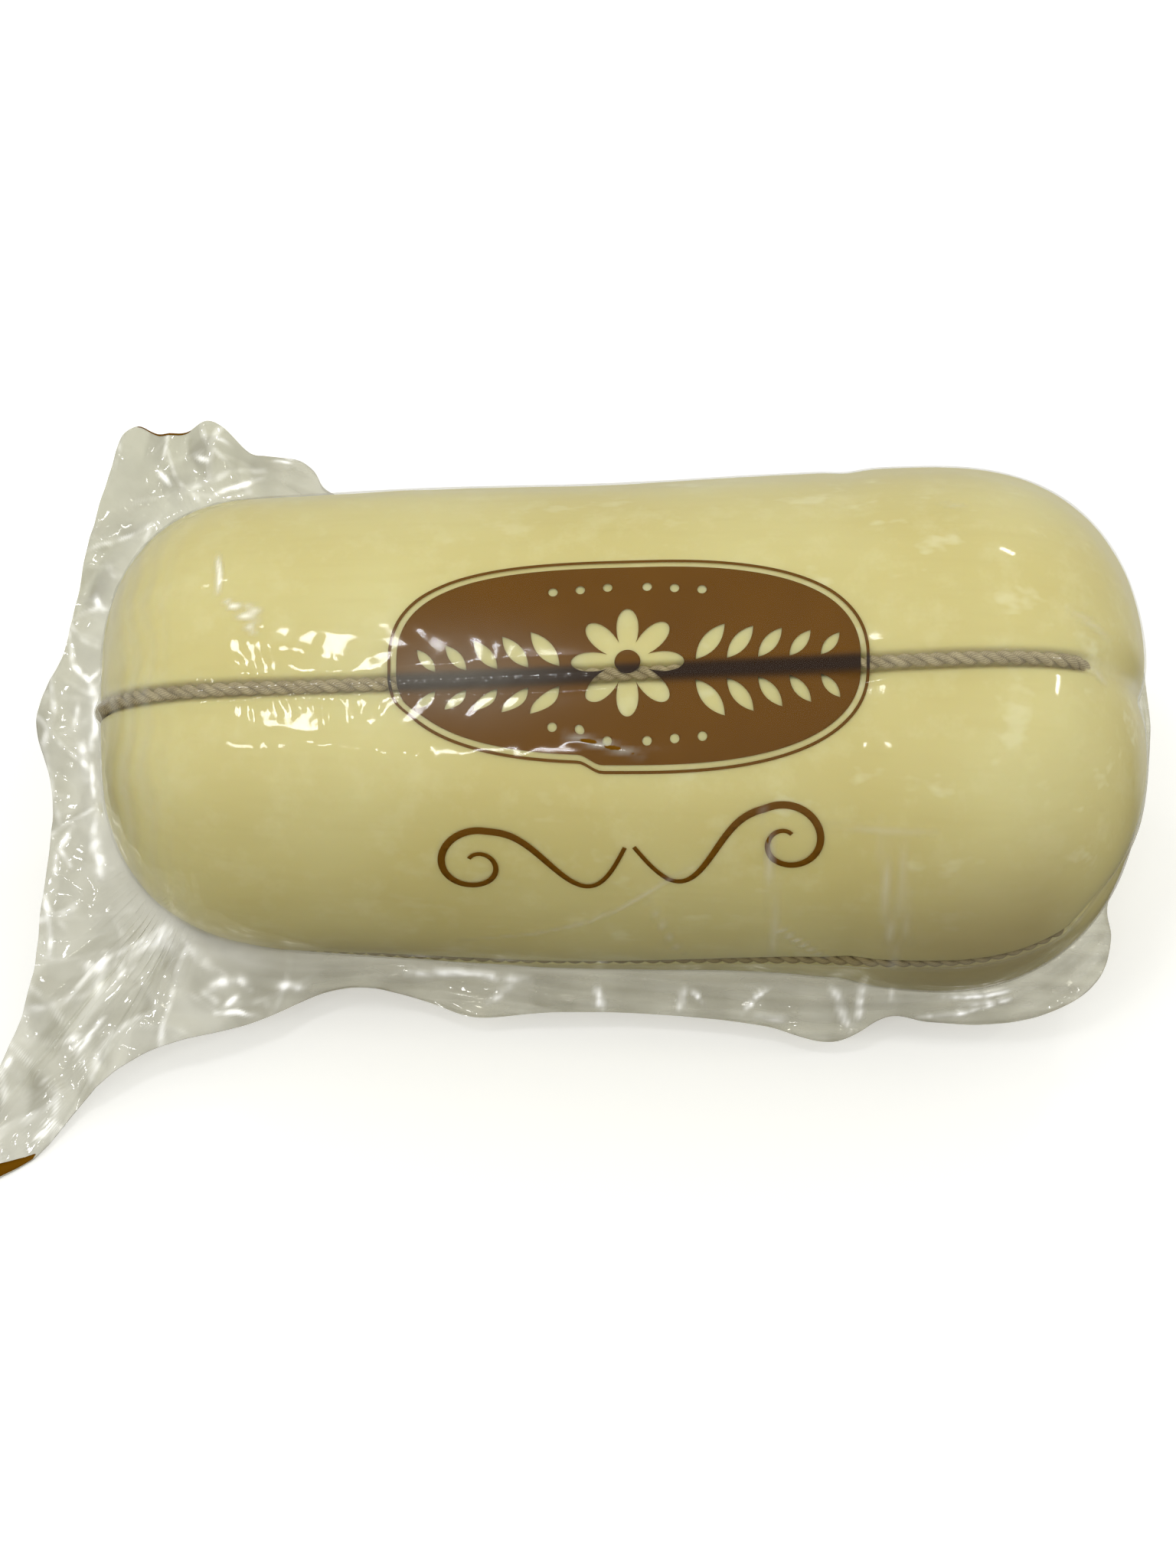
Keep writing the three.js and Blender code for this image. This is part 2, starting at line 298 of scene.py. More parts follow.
def in_plane(x, y):
    """Spots in a flat plane, for noise to be read at."""
    return np.stack(np.broadcast_arrays(x, y, 0 * x), -1)


def noise_at(points, size, seed=0.0):
    """Smooth noise from -1 to 1 with features of about size, in the units of the points."""
    flat = np.asarray(points).reshape(-1, 3) / size + seed
    values = np.fromiter((noise.noise(p) for p in flat), float, len(flat))
    return values.reshape(np.shape(points)[:-1])


# %% [markdown]
# ## The cheese
# The real surface is smooth and waxy with soft lumps a few centimetres across and much finer
# hand-made unevenness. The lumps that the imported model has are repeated, the lower side sags a little
# more, and noise adds the finer marks. The underside is flattened where the cheese rests.

# %% Make the cheese
CHEESE_GRID = {"rows": 236, "sides": 400, "neck_density": 0.8}
CAP_DENSITY = 1.25
HAND_MARKS = [(0.09, 11, 0.0), (0.045, 4.5, 7.0)]
TABLE_GAP = 0.06


def angles_round(x, r, count):
    """Angles for the sides of the ring at x: closer beside the twine, wider on the underside."""
    even = np.linspace(0, 2 * math.pi, 3000)
    below = bell(np.degrees(even) - 265, 50)
    weight = np.concatenate([[0], np.cumsum(1 + 2.5 * pull(x, r, even[1:], 3.2) - 0.5 * below[1:])])
    return np.interp(np.linspace(0, weight[-1], count, endpoint=False), weight, even)


def ring_grid(rows, sides, neck_density):
    """The stations of the rows, and the angles of each ring between the poles."""
    station = stations(rows, CAP_DENSITY, neck_density)
    return station, np.array([angles_round(x, r, sides) for x, r in station[:2, 1:-1].T])


def surface_rings(rise, grid, floor):
    """Rings and poles of a surface that stands off the profile by rise(x, r, angle)."""
    station, angle = grid
    inner = station[:, 1:-1, None]
    rings = placed(stood_off(inner, angle, rise(inner[0], inner[1], angle)))
    ends = station[:, [0, -1]]
    poles = placed(stood_off(ends, 0.0, rise(ends[0], ends[1], np.zeros(2))))
    rings[..., 2] = np.maximum(rings[..., 2], floor * MM)
    return rings, poles


def grid_values(value, grid):
    """value(x, r, angle) at the same places, and in the same order, as surface_rings has them."""
    station, angle = grid
    inner = station[:, 1:-1, None]
    ends = station[:, [0, -1]]
    return np.concatenate([value(inner[0], inner[1], angle).ravel(), value(ends[0], ends[1], np.zeros(2))])


def set_attribute(mesh, name, values):
    mesh.attributes.new(name, "FLOAT", "POINT").data.foreach_set("value", np.ravel(values))


def lumpy_rise(x, r, angle):
    rise = cheese_rise(x, r, angle)
    station = np.stack(np.broadcast_arrays(x, r, 0 * x, 1 + 0 * x))
    spots = stood_off(station, angle, 0.0)
    for height, size, seed in HAND_MARKS:
        rise = rise + height * noise_at(spots, size, seed)
    return rise


def painted_head_shade(x, r, angle):
    """Painted shade on the lower side of the head, above the lower twine, from 0 to 1."""
    turned = half_turns(angle)
    above = turned - loop_angle(LOOPS[1], x, turned)
    under_head = 0.8 * smoothstep(x, 20, 48) * (1 - smoothstep(x, 54, 66))
    return under_head * (1 - smoothstep(above, 0.15, 0.85)) * smoothstep(above, -0.5, 0)


cheese_grid = ring_grid(**CHEESE_GRID)
cheese = add_object("cheese", shell_mesh("cheese", *surface_rings(lumpy_rise, cheese_grid, TABLE_GAP)))
set_attribute(cheese.data, "head_shade", grid_values(painted_head_shade, cheese_grid))
print("cheese:", triangles(cheese.data), "triangles")

# %% [markdown]
# ## The twine
# Two plies laid round each other make the twine. A plain cylinder with a bumpy material wouldn't catch
# light like that, so Geometry Nodes lay two real strands along each loop's path. The path carries an
# attribute with the direction that looks out of the cheese, because a cross-section turned by that
# direction keeps its place all the way round and meets itself where the loop closes.

# %% One function that adds a node
def node(tree, kind, links=(), **settings):
    """Adds a node: a shader node, unless its kind says more. settings are its properties.

    links pair an input with what goes in: a value, an output, or a node, for its first output."""
    made = tree.nodes.new(kind if "Node" in kind else "ShaderNode" + kind)
    for key, value in settings.items():
        setattr(made, key, value)
    for key, value in links:
        if isinstance(value, bpy.types.Node):
            value = next(output for output in value.outputs if output.enabled)
        if isinstance(value, bpy.types.NodeSocket):
            tree.links.new(value, made.inputs[key])
        else:
            made.inputs[key].default_value = value
    return made


# %% The twine's nodes
PLY_SIDES = 10


def twine_tree():
    tree = bpy.data.node_groups.new("two-ply twine", "GeometryNodeTree")
    for name, kind in (("Geometry", "Geometry"), ("Ply Radius", "Float"), ("Lay Radius", "Float"),
                       ("Turns", "Float"), ("Plies", "Int"), ("Material", "Material")):
        tree.interface.new_socket(name, in_out="INPUT", socket_type="NodeSocket" + kind)
    tree.interface.new_socket("Geometry", in_out="OUTPUT", socket_type="NodeSocketGeometry")
    given = tree.nodes.new("NodeGroupInput").outputs
    path = node(tree, "GeometryNodeMeshToCurve", [("Mesh", given["Geometry"])])
    plies = node(tree, "GeometryNodeDuplicateElements", [
        ("Geometry", path), ("Amount", given["Plies"])], domain="SPLINE")
    factor = node(tree, "GeometryNodeSplineParameter")
    turn = node(tree, "Math", [(0, factor), (1, given["Turns"])], operation="MULTIPLY")
    phase = node(tree, "Math", [(0, plies.outputs["Duplicate Index"]), (1, given["Plies"])],
                 operation="DIVIDE")
    both = node(tree, "Math", [(0, turn), (1, phase)], operation="ADD")
    angle = node(tree, "Math", [(0, both), (1, 2 * math.pi)], operation="MULTIPLY")
    outward = node(tree, "GeometryNodeInputNamedAttribute", [("Name", "outward")], data_type="FLOAT_VECTOR")
    side = node(tree, "VectorMath", [(0, node(tree, "GeometryNodeInputTangent")), (1, outward)],
                operation="CROSS_PRODUCT")
    shares = []
    for direction, wave in ((outward, "COSINE"), (side, "SINE")):
        share = node(tree, "Math", [(0, angle)], operation=wave)
        reach = node(tree, "Math", [(0, share), (1, given["Lay Radius"])], operation="MULTIPLY")
        shares.append(node(tree, "VectorMath", [(0, direction), ("Scale", reach)], operation="SCALE"))
    offset = node(tree, "VectorMath", [(0, shares[0]), (1, shares[1])], operation="ADD")
    strands = node(tree, "GeometryNodeSetPosition", [("Geometry", plies), ("Offset", offset)])
    along = node(tree, "GeometryNodeStoreNamedAttribute", [
        ("Geometry", strands), ("Name", "along"), ("Value", turn)], data_type="FLOAT", domain="POINT")
    circle = node(tree, "GeometryNodeCurvePrimitiveCircle", [
        ("Resolution", PLY_SIDES), ("Radius", given["Ply Radius"])], mode="RADIUS")
    around = node(tree, "GeometryNodeStoreNamedAttribute", [
        ("Geometry", circle), ("Name", "around"), ("Value", node(tree, "GeometryNodeSplineParameter"))],
        data_type="FLOAT", domain="POINT")
    tube = node(tree, "GeometryNodeCurveToMesh", [("Curve", along), ("Profile Curve", around)])
    smooth = node(tree, "GeometryNodeSetShadeSmooth", [("Geometry", tube)])
    real = node(tree, "GeometryNodeRealizeInstances", [("Geometry", smooth)])
    painted = node(tree, "GeometryNodeSetMaterial", [("Geometry", real), ("Material", given["Material"])])
    node(tree, "NodeGroupOutput", [("Geometry", painted)])
    return tree


twine_nodes = twine_tree()
print("twine tree:", len(twine_nodes.nodes), "nodes")


# %% [markdown]
# ## Materials
# Every colour is written as the sRGB value that the eye sees and turned linear by one function. The
# patterns are sized in millimetres: a texture's scale is one over the size of its feature. A finish is
# a base colour with layers laid over it, each as strong as a patchy noise or an attribute says.

# %% Colour and texture helpers
def srgb(code, alpha=1.0):
    """A linear colour from an sRGB hex code."""
    parts = [int(code[i:i + 2], 16) / 255 for i in (1, 3, 5)]
    linear = [p / 12.92 if p <= 0.04045 else ((p + 0.055) / 1.055) ** 2.4 for p in parts]
    return (*linear, alpha)


def per_metre(millimetres):
    return 1 / (millimetres * MM)


def new_material(name):
    made = bpy.data.materials.new(name)
    made.use_nodes = True
    made.node_tree.nodes.clear()
    return made, made.node_tree


def finish_material(tree, shader):
    node(tree, "OutputMaterial", [("Surface", shader)])


def patches(tree, place, size, detail, roughness, spread, reach=(0.0, 1.0)):
    """Noise with features of size millimetres. Its values over spread are stretched over reach."""
    cloud = node(tree, "TexNoise", [
        ("Vector", place), ("Scale", per_metre(size)), ("Detail", detail), ("Roughness", roughness)])
    return node(tree, "MapRange", [
        ("Value", cloud), ("From Min", spread[0]), ("From Max", spread[1]),
        ("To Min", reach[0]), ("To Max", reach[1])])


def laid_over(tree, base, layers):
    """The colour after each layer, a share and a hex code, is laid over the base."""
    colour = srgb(base)
    for share, code in layers:
        colour = node(tree, "Mix", [(0, share), (6, colour), (7, srgb(code))], data_type="RGBA")
    return colour


# %% [markdown]
# ### Stretched-curd cheese
# Provolone is pale straw yellow and slightly translucent: light enters, scatters a few millimetres and
# comes out softer, which subsurface scattering gives. Its colour drifts between warmer and paler
# patches. Fat makes small pale clouds and pockets, most of them in the head half, and the pulled curd
# leaves faint streaks along the log. The lower side of the head, above the lower twine, is painted
# darker: painted shade.

# %% The cheese's material
def cheese_material():
    made, tree = new_material("stretched-curd cheese, waxy")
    place = node(tree, "TexCoord").outputs["Object"]
    squeezed, drawn_out = [node(tree, "Mapping", [("Vector", place), ("Scale", (share, 1.0, 1.0))])
                           for share in (0.6, 0.09)]
    head_half = node(tree, "MapRange", [
        ("Value", node(tree, "SeparateXYZ", [("Vector", place)]).outputs["X"]),
        ("From Min", -30 * MM), ("From Max", 45 * MM), ("To Min", 0.15), ("To Max", 0.6)])
    drift = patches(tree, place, 34, 2.0, 0.45, (0.36, 0.66))
    clouds = patches(tree, place, 5, 4.0, 0.65, (0.5, 0.72), (0.0, 0.42))
    pockets = patches(tree, squeezed, 6, 3.0, 0.6, (0.6, 0.68), (0.0, head_half))
    streaks = patches(tree, drawn_out, 1.6, 2.0, 0.5, (0.5, 0.75), (0.0, 0.09))
    # Painted shade: the lower side of the head, above the lower twine, is coloured darker.
    head_shade = node(tree, "Attribute", attribute_name="head_shade").outputs["Fac"]
    colour = laid_over(tree, "#e0d48f", [
        (drift, "#e8e0a2"), (clouds, "#efe8b2"), (pockets, "#f4efc0"), (streaks, "#cdbb70"),
        (head_shade, "#c0b17a")])
    grain = node(tree, "TexNoise", [("Vector", place), ("Scale", per_metre(2.4)), ("Detail", 3.0)])
    bump = node(tree, "Bump", [("Strength", 0.25), ("Distance", 0.15 * MM), ("Height", grain)])
    finish_material(tree, node(tree, "BsdfPrincipled", [
        ("Base Color", colour), ("Roughness", 0.5), ("IOR", 1.45), ("Specular IOR Level", 0.15),
        ("Subsurface Weight", 0.35), ("Subsurface Radius", (1.0, 0.75, 0.35)),
        ("Subsurface Scale", 4 * MM), ("Normal", bump)]))
    return made


# %% [markdown]
# ### Hemp twine
# Unbleached hemp is grey-brown, and under the film it is dark with the cheese's oil. The lower loop lies
# in the cheese's shade, and its lighter fibres are painted darker: painted shade. Fibres run along each
# ply at a slant, so the pattern follows the two attributes that the twine's nodes stored.

# %% The twine's material
FIBRES, FIBRE_SLANT = 7, 2.0


def twine_material(name, dark, light):
    made, tree = new_material(name)
    along, around = [node(tree, "Attribute", attribute_name=stored).outputs["Fac"]
                     for stored in ("along", "around")]
    turned = node(tree, "Math", [(0, along), (1, FIBRE_SLANT), (2, around)], operation="MULTIPLY_ADD")
    wave = node(tree, "Math", [(0, turned), (1, 2 * math.pi * FIBRES)], operation="MULTIPLY")
    fibre = node(tree, "Math", [(0, wave)], operation="SINE")
    place = node(tree, "TexCoord").outputs["Object"]
    patch = node(tree, "TexNoise", [
        ("Vector", place), ("Scale", per_metre(2.2)), ("Detail", 4.0), ("Roughness", 0.7)])
    tone = node(tree, "Math", [(0, fibre), (1, 0.13), (2, patch)], operation="MULTIPLY_ADD")
    lit = node(tree, "MapRange", [("Value", tone), ("From Min", 0.3), ("From Max", 0.75)])
    bump = node(tree, "Bump", [("Strength", 0.6), ("Distance", 0.12 * MM), ("Height", tone)])
    finish_material(tree, node(tree, "BsdfPrincipled", [
        ("Base Color", laid_over(tree, dark, [(lit, light)])), ("Roughness", 0.75), ("Normal", bump)]))
    return made


# %% [markdown]
# ### Shrink film
# Barrier shrink film is a few hundredths of a millimetre of clear plastic. Lying on the cheese it is
# seen only by its gloss. Where two slack layers lie together they scatter light too and look milky.
# So two shaders lie over a see-through one: a pale veil, as strong as the film is slack, and on top a
# mirror-like gloss that follows Fresnel, so the film is clearest where it is seen square on.

# %% The film's materials
GLOSS_CAP = 0.32


def film_material(name, haze, sheen, ior, crinkle, glint_glow, colours):
    """haze is how much a slack place hides, and sheen multiplies what Fresnel reflects. The number after
    crinkle makes creases and glints light up, a painted highlight. The colours are what passes through,
    the whitened creases and glints, and painted shade."""
    passes, crease_and_glint_colour, shaded = colours
    made, tree = new_material(name)
    place = node(tree, "TexCoord").outputs["Object"]
    slack, crease_and_glint, shade = [node(tree, "Attribute", attribute_name=stored).outputs["Fac"]
                            for stored in ("slack", "crease_and_glint", "shade")]
    fine = node(tree, "TexNoise", [
        ("Vector", place), ("Scale", per_metre(2.2)), ("Detail", 3.0), ("Roughness", 0.55)])
    bump = node(tree, "Bump", [("Strength", crinkle), ("Distance", 0.25 * MM), ("Height", fine)])
    uneven = patches(tree, place, 7, 2.0, 0.5, (0.3, 0.7), (haze * 0.8, haze * 1.2))
    hazy = node(tree, "Math", [(0, slack), (1, uneven), (2, crease_and_glint)], operation="MULTIPLY_ADD",
                use_clamp=True)
    behind = node(tree, "MapRange", [
        ("Value", node(tree, "SeparateXYZ", [("Vector", place)]).outputs["Y"]),
        ("From Min", -20 * MM), ("From Max", 35 * MM)])
    colour = laid_over(tree, "#f3f2e6", [(behind, "#e0dfca"), (shade, shaded), (crease_and_glint, crease_and_glint_colour)])
    # Creases and glints give off a little light, though the film is no lamp: a painted highlight.
    painted_glow = node(tree, "Math", [(0, crease_and_glint), (1, glint_glow)], operation="MULTIPLY")
    veil = node(tree, "BsdfPrincipled", [
        ("Base Color", colour), ("Roughness", 0.4), ("Specular IOR Level", 0.2),
        ("Emission Color", srgb("#ffffff")), ("Emission Strength", painted_glow), ("Normal", bump)])
    clear = node(tree, "BsdfTransparent", [("Color", srgb(passes))])
    milky = node(tree, "MixShader", [(0, hazy), (1, clear), (2, veil)])
    fresnel = node(tree, "Fresnel", [("IOR", ior), ("Normal", bump)])
    raised = node(tree, "Math", [(0, fresnel), (1, sheen)], operation="MULTIPLY")
    capped = node(tree, "Math", [(0, raised), (1, GLOSS_CAP)], operation="MINIMUM")
    gloss = node(tree, "BsdfPrincipled", [
        ("Base Color", srgb("#f4f4f2")), ("Roughness", 0.07), ("Metallic", 1.0), ("Normal", bump)])
    finish_material(tree, node(tree, "MixShader", [(0, capped), (1, milky), (2, gloss)]))
    return made


# %% [markdown]
# ### Printing ink
# The label is flexographic ink on the film. It is a flat brown with the film's own gloss on top.
# Over the twine the film stands off the cheese and no light comes back through the ink, so its colour is
# painted darker there: painted shade.

# %% The ink's material
def ink_material():
    made, tree = new_material("brown flexographic ink on film")
    over = node(tree, "Attribute", attribute_name="over_twine").outputs["Fac"]
    place = node(tree, "TexCoord").outputs["Object"]
    cloud = node(tree, "TexNoise", [("Vector", place), ("Scale", per_metre(9))])
    colour = laid_over(tree, "#6b4400", [(cloud, "#794f00"), (over, "#2c1804")])
    finish_material(tree, node(tree, "BsdfPrincipled", [
        ("Base Color", colour), ("Roughness", 0.6), ("Specular IOR Level", 0.05)]))
    return made


# %% Make the materials
cheese_finish = cheese_material()
# The second finish is for the lower loop: its light fibres are painted darker, as painted shade.
twine_finishes = [twine_material("two-ply hemp twine, oiled", "#8b7a50", "#c9ba8e"),
                  twine_material("two-ply hemp twine, oiled, painted in shade", "#8a7c54", "#a39468")]
film_on_cheese = film_material(
    "shrink film, tight on the cheese", haze=0.3, sheen=1.3, ior=1.3, crinkle=0.02, glint_glow=0.3,
    colours=("#ffffff", "#f6f1d2", "#cbbf8a"))
film_slack = film_material(
    "shrink film, slack and crumpled", haze=0.5, sheen=1.6, ior=1.45, crinkle=0.1, glint_glow=0.7,
    colours=("#f3f2ea", "#fdfdf8", "#b0ad9a"))
ink_finish = ink_material()
cheese.data.materials.append(cheese_finish)
print("finishes:", [m.name for m in (cheese_finish, *twine_finishes, film_on_cheese, film_slack, ink_finish)])

# %% Lay the twine
def loop_path(loop, stops=620):
    """Points along a closed loop, and the direction out of the cheese at each, in body millimetres."""
    station = stations(stops)
    straight = np.radians(lerp(loop["neck_angle"], loop["head_angle"], station[0] / LENGTH + 0.5))
    halves = []
    for turn, order in ((0, slice(None)), (math.pi, slice(-2, 0, -1))):
        angle = loop_angle(loop, station[0], straight + turn) + turn
        centre = stood_off(station, angle, -twine_depth(loop, station[0], station[1], angle))
        out = np.stack([station[2], -station[3] * np.cos(angle), station[3] * np.sin(angle)], -1)
        halves.append((centre[order], out[order]))
    return [np.concatenate(parts) for parts in zip(*halves)]


def set_input(modifier, tree, name, value):
    """Sets a modifier's input by the identifier of the socket with this name."""
    found = [item for item in tree.interface.items_tree if item.name == name and item.in_out == "INPUT"]
    modifier[found[0].identifier] = value


def made_plain(source, name):
    """The evaluated object as a plain mesh object of its own."""
    graph = bpy.context.evaluated_depsgraph_get()
    mesh = bpy.data.meshes.new_from_object(source.evaluated_get(graph))
    old = source.data
    bpy.data.objects.remove(source)
    bpy.data.meshes.remove(old)
    mesh.name = name
    return add_object(name, mesh)


def turned_out(mesh):
    """Turns the faces of a closed mesh round if they look inwards."""
    bm = bmesh.new()
    bm.from_mesh(mesh)
    if bm.calc_volume(signed=True) < 0:
        bmesh.ops.reverse_faces(bm, faces=bm.faces)
    bm.to_mesh(mesh)
    bm.free()


def lay_twine(loop, finish):
    centre, out = loop_path(loop)
    points = placed(centre)
    directions = placed(centre + out) - points
    directions /= np.linalg.norm(directions, axis=1, keepdims=True)
    count = len(points)
    path = bpy.data.meshes.new("path")
    path.from_pydata(points.tolist(), [(i, (i + 1) % count) for i in range(count)], [])
    attribute = path.attributes.new("outward", "FLOAT_VECTOR", "POINT")
    attribute.data.foreach_set("vector", directions.ravel())
    span = np.linalg.norm(np.roll(points, -1, axis=0) - points, axis=1).sum()
    guide = add_object("guide", path)
    modifier = guide.modifiers.new("twine", "NODES")
    modifier.node_group = twine_nodes
    for name, value in (("Ply Radius", PLY_RADIUS * MM), ("Lay Radius", LAY_RADIUS * MM),
                        ("Turns", float(round(span / (PLY_PITCH * MM)))), ("Plies", 2),
                        ("Material", finish)):
        set_input(modifier, twine_nodes, name, value)
    made = made_plain(guide, loop["name"])
    turned_out(made.data)
    print(loop["name"], round(span * 1000), "mm round,", triangles(made.data), "triangles")
    return made


twines = [lay_twine(loop, finish) for loop, finish in zip(LOOPS, twine_finishes)]

# %% [markdown]
# ## The film on the cheese
# The bag has shrunk onto the cheese. It touches it nearly everywhere, and stretches in low tents over
# the twine. Towards the neck the film had too much width and dried into small ripples, which break
# the light up into glints. The tents and ripples are real shape here. Only the finest crinkle is bump.

# %% Tents and ripples in the film
FILM_GRID = {"rows": 330, "sides": 298, "neck_density": 3.0}
FILM_GAP, FILM_REST, ARC_FROM = 0.14, 0.27, 60
TENT_SLOPE, TENT_ROUND, TENT_BLEND, PLY_BUMP = 0.7, 0.9, 0.5, 0.035


def tent_rise(x, r, angle):
    """The film's height over the nearest twine: a rounded ridge with straight flanks."""
    highest = np.full(np.shape(x * angle), -9.0)
    for loop in LOOPS:
        aside = aside_of(loop, x, r, angle)
        plies = PLY_BUMP * np.cos(4 * math.pi * x / PLY_PITCH)
        top = TWINE_RADIUS + FILM_GAP + plies - twine_depth(loop, x, r, angle)
        flank = TENT_SLOPE * (np.sqrt(aside ** 2 + TENT_ROUND ** 2) - TENT_ROUND)
        highest = np.maximum(highest, top - flank)
    return highest


def soft_max(a, b, blend):
    """The larger of two heights, rounded where they meet."""
    gap = np.maximum(blend - np.abs(a - b), 0) / blend
    return np.maximum(a, b) + gap * gap * blend / 4


def pleat(t, sharpness=0.93):
    """A wave from -1 to 1 with rounded creases."""
    return np.arcsin(sharpness * np.sin(2 * math.pi * t)) / math.asin(sharpness)


def arc_of(r, angle):
    """Millimetres round the surface from where the upper twine lies."""
    return r * half_turns(angle - math.radians(ARC_FROM))


def ripples(x, r, angle):
    """Slack in the film over the neck half, in millimetres above where tight film would lie."""
    arc = arc_of(r, angle)
    spots = in_plane(x, arc)
    warp, fine = noise_at(spots, 8, 3.0), noise_at(spots, 3, 17.0)
    patchy = smoothstep(noise_at(spots, 5, 13.0), -0.25, 0.2)
    below, above = smoothstep(-arc, 1.2, 2.2), smoothstep(arc, 1.2, 2.2)
    comb = bell(x + 41, 9) * bell(arc + 4.6, 3.6) * below * pleat((x + 0.3 * arc) / 1.7 + 0.9 * warp)
    roll = bell(x + 42, 9) * bell(arc + 8.2, 4.2)
    stroke_zone = bell(x + 45, 9) * bell(arc - 5.5 + 0.3 * (x + 45), 4) * above
    strokes = pleat((arc + 0.35 * x) / 2.3 + 0.8 * warp) + 0.6 * pleat((x - 0.3 * arc) / 2.9 + fine)
    slack_zone = bell(x + 44, 20) * bell(arc - 2, 15)
    slack = pleat((x + 0.8 * arc) / 6.5 + 1.2 * warp) * pleat((x - 1.6 * arc) / 11 + warp + 0.3)
    rings = smoothstep(-x, 50, 60) * pleat(x / 2.6 + 0.8 * warp)
    on_label = bell(x + 24, 12) * bell(arc + 7, 9) * pleat((x - arc) / 4.4 + warp)
    return (patchy * (0.045 * comb + 0.03 * stroke_zone * strokes + 0.07 * on_label)
            + 0.55 * roll + 0.09 * slack_zone * slack + 0.04 * rings + 0.02 * noise_at(spots, 6, 11.0))


# %% Creases where the film has folded on itself
# The creases here are each a height, a width and a line of (x, degrees) points. Their whitening and faint
# light are partly doubled film and partly a painted highlight; the last lines are only painted glints.
CREASES = [
    (0.14, 0.5, [(34.2, 27), (34.3, 18), (35.0, 10), (35.3, 0), (36.5, -12), (37, -25)]),
    (0.1, 0.6, [(36.4, 23), (37.2, 12), (37.3, 2), (38.6, -11)]),
    (0.16, 0.4, [(18.6, 30), (19.4, 20), (19.9, 10), (20.3, -3), (20.7, -20)]),
    (0.2, 0.4, [(20.3, -3), (23.6, -10.5), (27.5, -20)]),
    (0.12, 0.35, [(9, 16), (6.5, 12.5), (3.9, 8.6), (0.9, 4), (-4.2, -2.6), (-11.6, -8.5), (-22, -13)]),
    (0.12, 0.35, [(3.7, 5), (5.2, -2), (7, -12), (8.4, -19)]),
    (0.18, 0.4, [(-7.5, 46.5), (-3, 44.5), (2.5, 42)]),
    (0.1, 0.4, [(27, 26), (33, 24.5), (41, 24)]),
    (0.12, 0.5, [(58.5, 76), (61.5, 73.4), (64.5, 70.5)]),
    (0.12, 0.5, [(62.5, 63), (64.5, 60)]),
    (0.1, 0.5, [(42.5, 107), (45.5, 105)]),
]
PAINTED_GLINT_LINES = [
    [(-54.0, 91.8), (-53.5, 86), (-53.5, 81)], [(-52.5, 78.5), (-51.5, 77.2), (-50.2, 76.8)],
    [(-50, 76.8), (-47.8, 76)], [(-51, 75.2), (-49.2, 74.2), (-47.8, 73.8)], [(-49.5, 71.8), (-48.2, 71)],
]
FILM_CREASES = [(height, width, min(1, height / 0.2), line) for height, width, line in CREASES]
FILM_CREASES += [(0.04, 0.4, 2.4, line) for line in PAINTED_GLINT_LINES]
print("creases in the tight film:", len(FILM_CREASES))


# %% What a crease does to a film
def line_marks(spots, creases):
    """Height of creases at spots in a plane, and how pale they are: partly doubled film, partly a painted
    glint.

    A crease is its height, its width, how pale it is, and its line."""
    marks, pales = np.zeros(spots.shape[:-1]), np.zeros(spots.shape[:-1])
    for height, width, pale, line in creases:
        points = np.array(line, float)
        nearest = np.full(spots.shape[:-1], 1e3)
        fade = np.zeros(spots.shape[:-1])
        for i, (start, stop) in enumerate(zip(points[:-1], points[1:])):
            run = stop - start
            share = np.clip(((spots - start) @ run) / (run @ run), 0, 1)
            gap = np.linalg.norm(spots - start - share[..., None] * run, axis=-1)
            closer = gap < nearest
            nearest = np.where(closer, gap, nearest)
            done = np.clip((i + share) / (len(points) - 1), 0.04, 0.96)
            fade = np.where(closer, np.sin(math.pi * done), fade)
        ridge = bell(nearest, width) * np.sqrt(fade)
        marks = marks + height * ridge
        pales = np.maximum(pales, ridge * pale)
    return marks, pales


def crease_marks(x, r, angle):
    """The creases of the film on the cheese: their height, and how pale they are."""
    spots = np.stack(np.broadcast_arrays(x, arc_of(r, angle)), -1)
    unrolled = [(*looks, [(px, math.radians(degrees - ARC_FROM) * MID_RADIUS) for px, degrees in line])
                for *looks, line in FILM_CREASES]
    return line_marks(spots, unrolled)


# %% Make the film on the cheese
def film_rise(x, r, angle):
    return soft_max(soft_rise(x, r, angle) + FILM_REST, tent_rise(x, r, angle), TENT_BLEND)


def rippled_film(x, r, angle):
    return film_rise(x, r, angle) + ripples(x, r, angle) + crease_marks(x, r, angle)[0]


def film_milkiness(x, r, angle):
    """Where the film on the cheese is slack enough to look milky, from 0 to 1."""
    arc = arc_of(r, angle)
    spots = in_plane(x, arc)
    glare = 0.42 * bell(x + 22, 13) * bell(arc, 6)
    over_twine = 0.3 * pull(x, r, angle, 1.3, 4) * smoothstep(np.abs(x), 31, 35)
    streaks = 0.5 + 0.5 * pleat(x / 2.9 + 0.6 * noise_at(spots, 8, 3.0))
    neck_end = 0.62 * streaks * smoothstep(-x, 58, 67)
    return np.clip(glare + over_twine + neck_end + 0.9 * below_twine(x, r, angle), 0, 1.4)


def below_twine(x, r, angle):
    """The stretch under the lower twine near the head, where the film is double and milky, and its veil
    painted darker as shade.
    """
    turned = half_turns(angle)
    under = smoothstep(loop_angle(LOOPS[1], x, turned) - turned, 0.02, 0.08) * smoothstep(turned, -1.6, -1.2)
    return under * smoothstep(x, 26, 42)


film_grid = ring_grid(**FILM_GRID)
film_mesh = shell_mesh("film_on_cheese", *surface_rings(rippled_film, film_grid, 0.0))
film = add_object("film_on_cheese", film_mesh)
